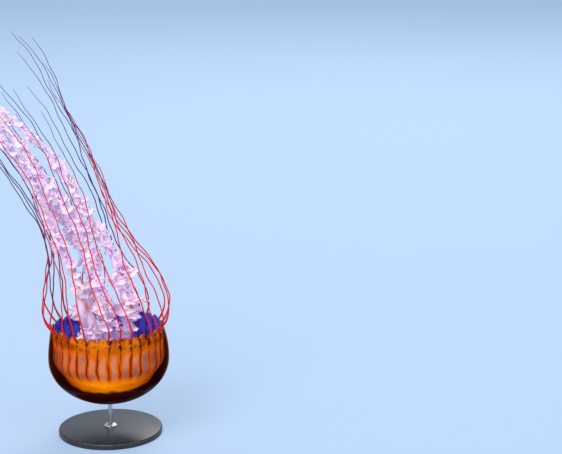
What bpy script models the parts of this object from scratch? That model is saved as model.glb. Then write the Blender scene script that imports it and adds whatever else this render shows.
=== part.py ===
"""A life-size sea nettle jellyfish, swimming bell down with its arms and tentacles trailing, on a display stand.

Metres, +Z up, with -Y the front. The origin is the middle of the stand's underside, below the apex of the bell.
Every part of the animal is its own solid: the bell with its lappets, the mouth, four oral arms in two lengths
each, and twenty-four tentacles in two lengths each.
"""

import math
import random

import bmesh
import bpy
from mathutils import Vector

GAP = 0.0003

# Stand
BASE_RADIUS = 0.104
BASE_HEIGHT = 0.012
BASE_EDGE = 0.004
ROD_RADIUS = 0.0045
ROD_LENGTH = 0.055
ROD_FOOT_RADIUS = 0.013
ROD_FOOT_HEIGHT = 0.005

# Bell: an upturned cup, widest at BELL_WAIST above its apex, that draws in a little towards its margin
APEX_Z = BASE_HEIGHT + GAP + ROD_LENGTH + GAP
BELL_RADIUS = 0.120
BELL_WAIST = 0.089
BELL_COLLAR = 0.069
MARGIN_RADIUS = 0.1095
JELLY_AT_APEX = 0.012
JELLY_AT_MARGIN = 0.0016
RIM_Z = APEX_Z + BELL_WAIST + BELL_COLLAR

# Margin: lappets with a cleft between each two; every fourth cleft holds a sense organ, the others a tentacle
LAPPETS = 32
LAPPET_ANGLE = 2 * math.pi / LAPPETS
CLEFTS_PER_SENSE_ORGAN = 4
FIRST_CLEFT_ANGLE = -LAPPET_ANGLE
CLEFT_HALF = 0.13
SHOULDER = 0.30
CLEFT_DEPTH = 0.007
LAPPET_RISE = 0.003
FLUTE = 0.0012

# Current: how far it carries what trails, for each metre and each square metre of height above the margin
DRIFT = 0.12
DRIFT_GROWTH = 0.86

# Tentacles: height is measured from the margin
TENTACLE_ROOT_RADIUS = 0.0017
TENTACLE_TIP_RADIUS = 0.0006
TENTACLE_SPLIT = 0.130
TENTACLE_SHORTEST = 0.40
TENTACLE_LONGEST = 0.60
TENTACLE_SEED = 10
TENTACLE_BOW = 0.15
BOW_HEIGHT = 0.042
TENTACLE_RING = MARGIN_RADIUS - (JELLY_AT_MARGIN + FLUTE) / 2
CLEARANCE = 0.0065

# Mouth and oral arms, which draw together by ARM_GATHER high up
MOUTH_RADIUS = 0.0260
MOUTH_HEIGHT = 0.058
MOUTH_TOP_Z = APEX_Z + JELLY_AT_APEX + 4 * GAP + MOUTH_HEIGHT
ARM_GATHER = 0.35
ARM_SPLIT = 0.120
ARM_RING = 0.0170
ARM_ROOT_RADIUS = 0.0085
ARM_MIDDLE_RADIUS = 0.0115
ARM_TIP_RADIUS = 0.0032
FRILL_WAVE = 0.0115
FRILLS = 4
FRILL_VALLEY = 0.62
FRILL_TURN = 5.0


def smooth(low, high, value):
    """0 below low, 1 above high, and a smooth step between."""
    t = min(1.0, max(0.0, (value - low) / (high - low)))
    return t * t * (3 - 2 * t)


def drift(height):
    """How far the current has carried what trails, in X, at a height above the margin."""
    risen = max(0.0, height)
    return -(DRIFT * risen + DRIFT_GROWTH * risen * risen)


def cleft_angle(index):
    return FIRST_CLEFT_ANGLE + index * LAPPET_ANGLE


def tentacle_waves(index):
    """The tentacle's own length and small waves."""
    chance = random.Random(TENTACLE_SEED + index)
    length = chance.uniform(TENTACLE_SHORTEST, TENTACLE_LONGEST)
    lean = chance.uniform(-0.05, 0.05)
    phase = chance.uniform(0, 2 * math.pi)
    wavelength = chance.uniform(0.15, 0.22)
    return length, lean, phase, wavelength


def kept_clear(place):
    """A tentacle's point, moved aside where an oral arm is in its way."""
    height = place.z - RIM_Z
    slope = DRIFT + 2 * DRIFT_GROWTH * max(0.0, height)
    for arm in ARMS.values():
        middle = arm_point(arm, height)
        room = (arm_radius(arm, height) + CLEARANCE) * (1 - smooth(arm["reach"], arm["reach"] + 0.06, height))
        aside = place - middle
        distance = max(0.0001, math.hypot(aside.x / math.hypot(1, slope), aside.y))
        place = middle + aside * ((distance**3 + room**3) ** (1 / 3) / distance)
    return place


def tentacle_point(index, height):
    """Where tentacle index is at a height above the margin: it bows out of its cleft, then follows the drift."""
    angle = cleft_angle(index)
    _, lean, phase, wavelength = tentacle_waves(index)
    bow = TENTACLE_BOW * height / BOW_HEIGHT * math.exp(1 - height / BOW_HEIGHT)
    spread = 1 + bow - 0.40 * smooth(0.03, 0.25, height) + 0.30 * smooth(0.28, 0.62, height)
    grown = smooth(0.0, 0.06, height)
    slow = 9.0 * math.sqrt(height)
    quick = 2 * math.pi * height / wavelength + phase
    radius = TENTACLE_RING * spread + grown * (0.010 * math.sin(slow + 3 * angle) + 0.004 * math.sin(quick))
    turn = grown * (0.011 * math.sin(slow + 2 * angle + 1.0) + 0.003 * math.cos(quick))
    lean_share = 0.72 - 0.12 * math.sin(angle) + lean
    place = Vector((
        radius * math.sin(angle) + turn * math.cos(angle) + lean_share * drift(height),
        -radius * math.cos(angle) + turn * math.sin(angle),
        RIM_Z - CLEFT_DEPTH + height,
    ))
    return place.lerp(kept_clear(place), grown)


# Each oral arm: where it leaves the mouth, how it bows in the bell's opening and then stands off the drift line
# in X and Y, its half-width in the opening, how high it reaches, and where its frills are full
ARMS = {
    "left": {
        "side": (-1, 0), "bow": (-0.002, 0.0), "off": (-0.040, -0.006), "full": 0.0190, "reach": 0.50, "phase": -0.1,
    },
    "front": {
        "side": (0, -1), "bow": (-0.006, -0.010), "off": (0.006, -0.022), "full": 0.0180, "reach": 0.54, "phase": 2.8,
    },
    "right": {
        "side": (1, 0), "bow": (0.004, 0.0), "off": (0.045, 0.004), "full": 0.0225, "reach": 0.51, "phase": -1.0,
    },
    "back": {
        "side": (0, 1), "bow": (-0.040, 0.0), "off": (-0.018, 0.038), "full": 0.0175, "reach": 0.47, "phase": 5.0,
    },
}


def arm_point(arm, height):
    """Where the middle of an oral arm is at a height above the margin, from the mouth up."""
    root = MOUTH_TOP_Z + GAP - RIM_Z
    leaving = smooth(root + 0.004, 0.04, height)
    bulge = math.exp(-(((height - 0.015) / 0.035) ** 2))
    wave = 0.006 * math.sin(height / 0.038 + arm["phase"]) * smooth(0.02, 0.10, height)
    sway = 0.006 * math.cos(height / 0.047 + arm["phase"]) * smooth(0.02, 0.10, height)
    side, bow = arm["side"], arm["bow"]
    off = [distance * (1 - ARM_GATHER * smooth(0.16, 0.42, height)) for distance in arm["off"]]
    return Vector((
        ARM_RING * side[0] * (1 - leaving) + off[0] * leaving + bow[0] * bulge * leaving + wave + drift(height),
        ARM_RING * side[1] * (1 - leaving) + off[1] * leaving + bow[1] * bulge * leaving + sway,
        RIM_Z + height,
    ))


def arm_radius(arm, height):
    """Half the width of an oral arm with its frills: slim at the mouth, full in the opening, fine at the tip."""
    root = MOUTH_TOP_Z + GAP - RIM_Z
    full = ARM_ROOT_RADIUS + (arm["full"] - ARM_ROOT_RADIUS) * smooth(root, 0.02, height)
    slim = full - (full - ARM_MIDDLE_RADIUS) * smooth(0.03, 0.16, height)
    tip = slim - (slim - ARM_TIP_RADIUS) * smooth(0.25, arm["reach"], height)
    return tip * (1 + 0.20 * math.sin(height / FRILL_WAVE + arm["phase"]))


def start_scene():
    """Clears the scene and returns the collections for the parts and for the guides."""
    for obj in list(bpy.data.objects):
        bpy.data.objects.remove(obj)
    parts = bpy.data.collections.new("sea_nettle")
    guides = bpy.data.collections.new("guides")
    for collection in (parts, guides):
        bpy.context.scene.collection.children.link(collection)
    return parts, guides


def material(name, colour, roughness, metallic=0.0):
    """A Principled material of one colour."""
    made = bpy.data.materials.new(name)
    made.use_nodes = True
    shader = made.node_tree.nodes["Principled BSDF"]
    shader.inputs["Base Color"].default_value = (*colour, 1)
    shader.inputs["Roughness"].default_value = roughness
    shader.inputs["Metallic"].default_value = metallic
    return made


def add_object(name, data, finish, collection):
    obj = bpy.data.objects.new(name, data)
    data.materials.append(finish)
    collection.objects.link(obj)
    return obj


def turned(name, profile, steps, finish, collection):
    """A turned solid: a profile that runs down its outer side from axis to axis, with a Screw modifier."""
    mesh = bpy.data.meshes.new(name)
    mesh.from_pydata([(r, 0, z) for r, z in profile], [(i, i + 1) for i in range(len(profile) - 1)], [])
    obj = add_object(name, mesh, finish, collection)
    screw = obj.modifiers.new("turn", "SCREW")
    screw.steps = screw.render_steps = steps
    screw.use_merge_vertices = True
    screw.merge_threshold = 0.0001
    return obj


def make_stand(finish_base, finish_rod, parts):
    """A flat round base with a softened edge, and one short rod on a foot that carries the bell."""
    top, side = BASE_HEIGHT, BASE_RADIUS
    turned(
        "stand_base",
        [(0, top), (side - BASE_EDGE, top), (side, top - BASE_EDGE), (side, 0), (0, 0)],
        36,
        finish_base,
        parts,
    )
    foot = top + GAP
    turned(
        "stand_rod",
        [
            (0, foot + ROD_LENGTH),
            (ROD_RADIUS, foot + ROD_LENGTH),
            (ROD_RADIUS, foot + ROD_FOOT_HEIGHT + 0.002),
            (ROD_FOOT_RADIUS - 0.002, foot + ROD_FOOT_HEIGHT),
            (ROD_FOOT_RADIUS, foot + 0.002),
            (ROD_FOOT_RADIUS, foot),
            (0, foot),
        ],
        16,
        finish_rod,
        parts,
    )


def bell_profile():
    """Radius and height of the bell's outer side from the apex to the margin."""
    dome = [math.radians(a) for a in (12, 28, 46, 66, 90)]
    points = [(0.0, APEX_Z)]
    points += [(BELL_RADIUS * math.sin(a), APEX_Z + BELL_WAIST * (1 - math.cos(a))) for a in dome]
    for share in (0.5, 1.0):
        inward = (BELL_RADIUS - MARGIN_RADIUS) * share * share
        points.append((BELL_RADIUS - inward, APEX_Z + BELL_WAIST + BELL_COLLAR * share))
    return points


def lappet_shape(angle):
    """0 in a cleft and 1 on a lappet's round end, with the angle from the cleft as a share of a lappet."""
    share = abs((angle / LAPPET_ANGLE + 0.5) % 1 - 0.5)
    return smooth(CLEFT_HALF, SHOULDER, share)


def make_bell(finish, parts):
    """The bell: a profile spun to four columns a lappet, scalloped at the margin, with jelly thickest at the apex."""
    bell = bmesh.new()
    profile = bell_profile()
    line = [bell.verts.new((radius, 0, height)) for radius, height in profile]
    edges = [bell.edges.new(pair) for pair in zip(line, line[1:])]
    bmesh.ops.spin(
        bell,
        geom=line + edges,
        cent=(0, 0, 0),
        axis=(0, 0, 1),
        angle=2 * math.pi,
        steps=4 * LAPPETS,
        use_merge=True,
    )
    bmesh.ops.remove_doubles(bell, verts=bell.verts, dist=0.00001)
    columns = (-CLEFT_HALF, CLEFT_HALF, SHOULDER, 1 - SHOULDER)
    waist = APEX_Z + BELL_WAIST
    for vert in bell.verts:
        radius = math.hypot(vert.co.x, vert.co.y)
        if radius < 0.001:
            continue
        step = round(math.atan2(vert.co.y, vert.co.x) / (LAPPET_ANGLE / 4))
        angle = (step // 4 + columns[step % 4]) * LAPPET_ANGLE
        lobe = lappet_shape(angle)
        fluted = smooth(APEX_Z + 0.4 * BELL_WAIST, RIM_Z, vert.co.z)
        at_margin = smooth(waist + 0.4 * BELL_COLLAR, RIM_Z, vert.co.z)
        radius += FLUTE * (lobe - 0.5) * fluted - 0.002 * lobe * at_margin
        turn = FIRST_CLEFT_ANGLE + angle
        vert.co.x, vert.co.y = radius * math.sin(turn), -radius * math.cos(turn)
        vert.co.z += at_margin * (LAPPET_RISE * lobe - CLEFT_DEPTH * (1 - lobe))
    bmesh.ops.recalc_face_normals(bell, faces=bell.faces)
    lowest = min(bell.faces, key=lambda face: face.calc_center_median().z)
    if lowest.normal.z > 0:
        bmesh.ops.reverse_faces(bell, faces=bell.faces)
    mesh = bpy.data.meshes.new("bell")
    bell.to_mesh(mesh)
    bell.free()
    obj = add_object("bell", mesh, finish, parts)
    jelly = obj.vertex_groups.new(name="jelly")
    for vert in mesh.vertices:
        share = smooth(APEX_Z, RIM_Z - CLEFT_DEPTH, vert.co.z)
        jelly.add([vert.index], 1 - share * (1 - JELLY_AT_MARGIN / JELLY_AT_APEX), "REPLACE")
    wall = obj.modifiers.new("jelly", "SOLIDIFY")
    wall.thickness = JELLY_AT_APEX
    wall.offset = -1
    wall.vertex_group = "jelly"
    return obj


def make_mouth(finish, parts):
    """The mouth: a column with four lobes, one under each oral arm, between the bell's floor and the arms."""
    levels = [(0.30, 0.0), (0.70, 0.05), (0.62, 0.34), (0.84, 0.75), (1.0, 1.0)]
    bpy.ops.mesh.primitive_cylinder_add(vertices=24, radius=1, depth=1)
    column = bpy.context.object.data
    bpy.data.objects.remove(bpy.context.object)
    body = bmesh.new()
    body.from_mesh(column)
    sides = [edge for edge in body.edges if abs(edge.verts[0].co.z - edge.verts[1].co.z) > 0.5]
    bmesh.ops.subdivide_edges(body, edges=sides, cuts=3, use_grid_fill=True)
    heights = sorted({round(vert.co.z, 3) for vert in body.verts})
    for vert in body.verts:
        share, level = levels[heights.index(round(vert.co.z, 3))]
        angle = math.atan2(vert.co.y, vert.co.x)
        radius = MOUTH_RADIUS * share * (1 + 0.12 * math.cos(4 * angle) - 0.12)
        vert.co = (radius * math.cos(angle), radius * math.sin(angle), MOUTH_TOP_Z + MOUTH_HEIGHT * (level - 1))
    mesh = bpy.data.meshes.new("mouth")
    body.to_mesh(mesh)
    body.free()
    return add_object("mouth", mesh, finish, parts)


def swept(name, points, radii, finish, collection, profile=None, tilts=None):
    """A tube along points, slim or with its own profile, that is radii thick and closed at both ends."""
    curve = bpy.data.curves.new(name, "CURVE")
    curve.dimensions = "3D"
    curve.twist_mode = "Z_UP" if profile else "MINIMUM"
    curve.use_fill_caps = True
    if profile:
        curve.bevel_mode = "OBJECT"
        curve.bevel_object = profile
    else:
        curve.bevel_depth = 1.0
        curve.bevel_resolution = 0
    spline = curve.splines.new("POLY")
    spline.points.add(len(points) - 1)
    for index, (place, radius) in enumerate(zip(points, radii)):
        spline.points[index].co = (*place, 1)
        spline.points[index].radius = radius
        spline.points[index].tilt = tilts[index] if tilts else 0.0
    return add_object(name, curve, finish, collection)


def in_two(point, heights, split, gap):
    """The points of a route in two lengths, parted square to the route at the split height."""
    at = point(split)
    along = (point(split + 0.001) - point(split - 0.001)).normalized()
    below = [point(h) for h in heights if h < split - 0.008]
    above = [point(h) for h in heights if h > split + 0.008]
    below += [at - along * 0.004, at - along * gap / 2]
    above = [at + along * gap / 2, at + along * 0.004] + above
    return below, above


def spaced(low, high, count, power=1.0):
    """count + 1 heights from low to high, closer together near low where power is over 1."""
    return [low + (high - low) * (i / count) ** power for i in range(count + 1)]


def make_tentacles(finish, parts):
    """The tentacles: each leaves its cleft straight up, and is parted once."""
    numbered = [i for i in range(LAPPETS) if i % CLEFTS_PER_SENSE_ORGAN]
    for number, index in enumerate(numbered, start=1):
        length = tentacle_waves(index)[0]

        def radius_at(height, length=length):
            share = min(1.0, height / length)
            return TENTACLE_ROOT_RADIUS + (TENTACLE_TIP_RADIUS - TENTACLE_ROOT_RADIUS) * share**0.7

        heights = spaced(0.008, TENTACLE_SPLIT - 0.012, 6) + spaced(TENTACLE_SPLIT + 0.03, length, 8)
        below, above = in_two(lambda h, i=index: tentacle_point(i, h), heights, TENTACLE_SPLIT, GAP)
        root = tentacle_point(index, 0.0) + Vector((0, 0, 2 * GAP))
        below = [root, root + Vector((0, 0, 0.002))] + below[1:]
        for word, points in (("base", below), ("tip", above)):
            radii = [radius_at(p.z - RIM_Z + CLEFT_DEPTH) for p in points]
            swept(f"tentacle_{number:02d}_{word}", points, radii, finish, parts)


def frill_profile(guides):
    """The section of an oral arm of half-width 1: four frills round a middle, as a blunt star."""
    outline = []
    for step in range(2 * FRILLS):
        angle = -math.pi * step / FRILLS
        radius = FRILL_VALLEY if step % 2 else 1.0
        outline.append((radius * math.cos(angle), radius * math.sin(angle)))
    curve = bpy.data.curves.new("frill_profile", "CURVE")
    curve.dimensions = "2D"
    spline = curve.splines.new("POLY")
    spline.points.add(len(outline) - 1)
    for index, (x, y) in enumerate(outline):
        spline.points[index].co = (x, y, 0, 1)
    spline.use_cyclic_u = True
    guide = bpy.data.objects.new("frill_profile", curve)
    guide.hide_render = True
    guide.display_type = "WIRE"
    guides.objects.link(guide)
    return guide


def make_arms(finish, parts, guides):
    """The oral arms: a frilled ribbon that turns slowly on its way up, parted once."""
    profile = frill_profile(guides)
    root = MOUTH_TOP_Z + GAP - RIM_Z
    for word, arm in ARMS.items():
        heights = spaced(root, ARM_SPLIT - 0.012, 9) + spaced(ARM_SPLIT + 0.02, arm["reach"], 15)
        lengths = in_two(lambda h, a=arm: arm_point(a, h), heights, ARM_SPLIT, GAP)
        start = arm_point(arm, root)
        lengths = ([start, start + Vector((0, 0, 0.003))] + lengths[0][1:], lengths[1])
        square_on = math.atan2(arm["side"][1], arm["side"][0])
        for name, points in zip((f"arm_{word}_base", f"arm_{word}_tip"), lengths):
            rise = [p.z - RIM_Z for p in points]
            radii = [arm_radius(arm, h) for h in rise]
            tilts = [square_on + FRILL_TURN * smooth(0.0, arm["reach"], h) for h in rise]
            swept(name, points, radii, finish, parts, profile=profile, tilts=tilts)


def main():
    parts, guides = start_scene()
    make_stand(
        material("satin_black", (0.02, 0.02, 0.022), 0.4),
        material("steel_rod", (0.6, 0.6, 0.62), 0.3, metallic=1.0),
        parts,
    )
    make_bell(material("amber_jelly", (0.72, 0.26, 0.05), 0.2), parts)
    pale = material("pale_frill", (0.93, 0.74, 0.74), 0.4)
    make_mouth(pale, parts)
    make_arms(pale, parts, guides)
    make_tentacles(material("red_tentacle", (0.55, 0.03, 0.03), 0.3), parts)


main()
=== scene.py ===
"""Dresses a life-size sea nettle jellyfish on its display stand.

The bell hangs below like an upturned cup of amber jelly, and its lacy oral arms and red tentacles
trail up out of it towards -X. Metres, +Z up, -Y the front. The skins are worked out from the same
driving sizes as the solids of the frame, only finer.
"""

import logging
import math
import random
from dataclasses import dataclass, field
from enum import Enum
from functools import partial
from typing import Callable, ClassVar, Optional

import bpy
import numpy as np
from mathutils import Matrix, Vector


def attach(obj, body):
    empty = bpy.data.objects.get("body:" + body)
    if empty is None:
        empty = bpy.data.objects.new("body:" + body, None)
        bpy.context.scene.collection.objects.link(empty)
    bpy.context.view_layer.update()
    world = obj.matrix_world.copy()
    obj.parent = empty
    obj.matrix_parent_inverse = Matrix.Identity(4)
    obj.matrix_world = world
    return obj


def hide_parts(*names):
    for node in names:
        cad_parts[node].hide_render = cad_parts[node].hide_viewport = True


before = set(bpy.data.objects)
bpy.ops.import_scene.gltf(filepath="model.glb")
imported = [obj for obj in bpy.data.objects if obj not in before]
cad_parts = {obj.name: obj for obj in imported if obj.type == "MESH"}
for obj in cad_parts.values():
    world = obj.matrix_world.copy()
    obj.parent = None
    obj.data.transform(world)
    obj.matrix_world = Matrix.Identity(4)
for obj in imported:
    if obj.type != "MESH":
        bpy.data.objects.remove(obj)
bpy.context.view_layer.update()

Array = np.ndarray
Pair = tuple[float, float]
Triple = tuple[float, float, float]
Colour = Triple
Span = Pair  # Where a smooth step starts and where it ends.
Grain = Pair  # A noise's waves a metre and its octaves.
Socket = bpy.types.NodeSocket
TURN = 2 * math.pi
SHORTEST = 1e-6
LOG = logging.getLogger("sea_nettle")


class ArmSide(Enum):
    """The side of the mouth that an oral arm leaves."""

    LEFT = "left"
    FRONT = "front"
    RIGHT = "right"
    BACK = "back"


def smooth(low: float, high: float, value: Array | float) -> Array | float:
    """Returns a smooth step of a number or of many, 0 up to low and 1 from high on."""
    t = np.clip((value - low) / (high - low), 0.0, 1.0)
    return t * t * (3 - 2 * t)


def hump(middle: float, spread: float, value: Array | float) -> Array | float:
    """Returns 1 at the middle of a bell curve, falling to 0 on either side of it."""
    return np.exp(-(((value - middle) / spread) ** 2))


def unit_rows(rows: Array) -> Array:
    """Returns rows of three brought to a length of 1."""
    return rows / np.maximum(np.linalg.norm(rows, axis=1), SHORTEST)[:, None]


def swung(angle: Array, first: Array, second: Array) -> Array:
    """Returns the directions at angles from the first rows towards the second."""
    return np.cos(angle)[:, None] * first + np.sin(angle)[:, None] * second


def running_length(places: Array) -> Array:
    """Returns the length of a route up to each of its places."""
    return np.concatenate([[0.0], np.cumsum(np.linalg.norm(np.diff(places, axis=0), axis=1))])


def deselect_all() -> None:
    """Leaves nothing selected, so that the next operator acts on the new piece alone."""
    for chosen in list(bpy.context.selected_objects):
        chosen.select_set(False)


def vertex_places(piece: bpy.types.Object) -> Array:
    """Reads a piece's vertices.

    Args:
        piece: The piece.

    Returns:
        The vertices, as rows of three.
    """
    places = np.empty(len(piece.data.vertices) * 3)
    piece.data.vertices.foreach_get("co", places)
    return places.reshape(-1, 3)


def place_vertices(piece: bpy.types.Object, places: Array) -> None:
    """Puts a piece's vertices at rows of three."""
    piece.data.vertices.foreach_set("co", np.ascontiguousarray(places, dtype=np.float64).ravel())
    piece.data.update()


def keep_values(piece: bpy.types.Object, name: str, values: Array) -> None:
    """Keeps a number for each of a piece's vertices, as an attribute that a finish reads."""
    kept = piece.data.attributes.new(name, "FLOAT", "POINT")
    kept.data.foreach_set("value", values)


def turn_outwards(piece: bpy.types.Object) -> None:
    """Flips a closed piece that is inside out, which its signed volume tells.

    Args:
        piece: The piece.
    """
    piece.data.calc_loop_triangles()
    corners = np.empty(len(piece.data.loop_triangles) * 3, dtype=np.int32)
    piece.data.loop_triangles.foreach_get("vertices", corners)
    a, b, c = vertex_places(piece)[corners.reshape(-1, 3)].transpose(1, 0, 2)
    if np.einsum("ij,ij->i", a, np.cross(b, c)).sum() < 0:
        piece.data.flip_normals()


def shaped_ball(
    name: str, segments: int, rings: int, place: Callable[[Array, Array], Array]
) -> bpy.types.Object:
    """Models a closed skin from a ball, whose poles become its two ends.

    Args:
        name: The piece's name.
        segments: Columns round the ball.
        rings: Rings from pole to pole.
        place: Gives each vertex's place from its angle round the axis and its share of the way, 0 to 1.

    Returns:
        The piece, shaded smooth, with its share of the way kept as the attribute way.
    """
    deselect_all()
    bpy.ops.mesh.primitive_uv_sphere_add(segments=segments, ring_count=rings, radius=1.0)
    piece = bpy.context.object
    piece.name = piece.data.name = name
    ball = vertex_places(piece)
    share = 1 - np.arccos(np.clip(ball[:, 2], -1, 1)) / math.pi
    share = np.round(share * rings) / rings
    angle = np.arctan2(ball[:, 1], ball[:, 0])
    place_vertices(piece, place(angle, share))
    keep_values(piece, "way", share)
    turn_outwards(piece)
    bpy.ops.object.shade_smooth()
    return piece


def ruled_sheet(along: int, across: int) -> tuple[bpy.types.Object, Array, Array]:
    """Models a flat sheet of quads to be placed by formula.

    Args:
        along: Its steps along.
        across: Its steps across.

    Returns:
        The sheet, and how far along and across it each vertex is, 0 to 1.
    """
    deselect_all()
    bpy.ops.mesh.primitive_grid_add(x_subdivisions=along, y_subdivisions=across, size=1.0)
    piece = bpy.context.object
    grid = vertex_places(piece)
    shares = [np.round((grid[:, axis] + 0.5) * steps) / steps for axis, steps in enumerate((along, across))]
    return piece, shares[0], shares[1]


def joined(pieces: list[bpy.types.Object], name: str) -> bpy.types.Object:
    """Joins pieces into one.

    Args:
        pieces: The pieces.
        name: The name of the whole.

    Returns:
        The whole.
    """
    deselect_all()
    for piece in pieces:
        piece.select_set(True)
    bpy.context.view_layer.objects.active = pieces[0]
    bpy.ops.object.join()
    whole = bpy.context.object
    whole.name = whole.data.name = name
    return whole


def even_route(
    route: Callable[[float], Vector], low: float, high: float, count: int
) -> tuple[Array, Array]:
    """Samples a route at even steps along its length.

    Args:
        route: Gives a place for a height above the margin.
        low: The first height.
        high: The last height.
        count: How many steps.

    Returns:
        The count + 1 places, and the height of each above the margin.
    """
    finer = 6
    heights = np.linspace(low, high, finer * count + 1)
    length = running_length(np.array([route(float(height)) for height in heights]))
    even = np.interp(np.linspace(0, length[-1], count + 1), length, heights)
    return np.array([route(float(height)) for height in even]), even


def carried_frames(places: Array) -> tuple[Array, Array, Array]:
    """Carries a pair of cross directions along a route without twisting them, the first from +X.

    Args:
        places: The route's places.

    Returns:
        The route's direction and its two cross directions, each a row for each place.
    """
    ahead = unit_rows(np.gradient(places, axis=0))
    across = np.empty_like(ahead)
    carried = np.array([1.0, 0.0, 0.0])
    for index, direction in enumerate(ahead):
        carried = carried - direction * carried.dot(direction)
        carried = carried / np.linalg.norm(carried)
        across[index] = carried
    return ahead, across, np.cross(ahead, across)


@dataclass(frozen=True)
class NettlePlan:
    """The driving sizes that the skins share with the solids."""

    apex_z: float = 0.0676
    bell_radius: float = 0.120
    waist: float = 0.089
    collar: float = 0.069
    margin_radius: float = 0.1095
    jelly_at_apex: float = 0.012
    jelly_at_margin: float = 0.0016
    lappets: int = 32
    clefts_per_sense_organ: int = 4
    cleft_depth: float = 0.007
    flute: float = 0.0012
    mouth_radius: float = 0.0260
    mouth_top_z: float = 0.1388
    tentacle_seed: int = 10
    clearance: float = 0.0065
    drift_start: float = 0.12
    drift_growth: float = 0.86

    @property
    def waist_z(self) -> float:
        """Returns the height of the bell's widest place."""
        return self.apex_z + self.waist

    @property
    def rim_z(self) -> float:
        """Returns the height of the bell's margin."""
        return self.waist_z + self.collar

    @property
    def lappet_angle(self) -> float:
        """Returns the angle that one lappet takes."""
        return TURN / self.lappets

    def drift(self, height: float) -> float:
        """Returns how far the current carries what trails, in X, at a height above the margin."""
        risen = max(0.0, height)
        return -(self.drift_start * risen + self.drift_growth * risen * risen)

    def drift_slope(self, height: float) -> float:
        """Returns how fast the drift grows at a height above the margin."""
        return self.drift_start + 2 * self.drift_growth * max(0.0, height)


PLAN = NettlePlan()


def feed(socket: Socket, value: object) -> None:
    """Links a socket to another socket, or sets it to a value.

    Args:
        socket: The socket to feed.
        value: Another socket, a number, three numbers, or a colour, which is made opaque.
    """
    if isinstance(value, bpy.types.NodeSocket):
        socket.id_data.links.new(value, socket)
    elif socket.type == "RGBA":
        socket.default_value = (*value, 1.0)
    else:
        socket.default_value = value


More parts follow.
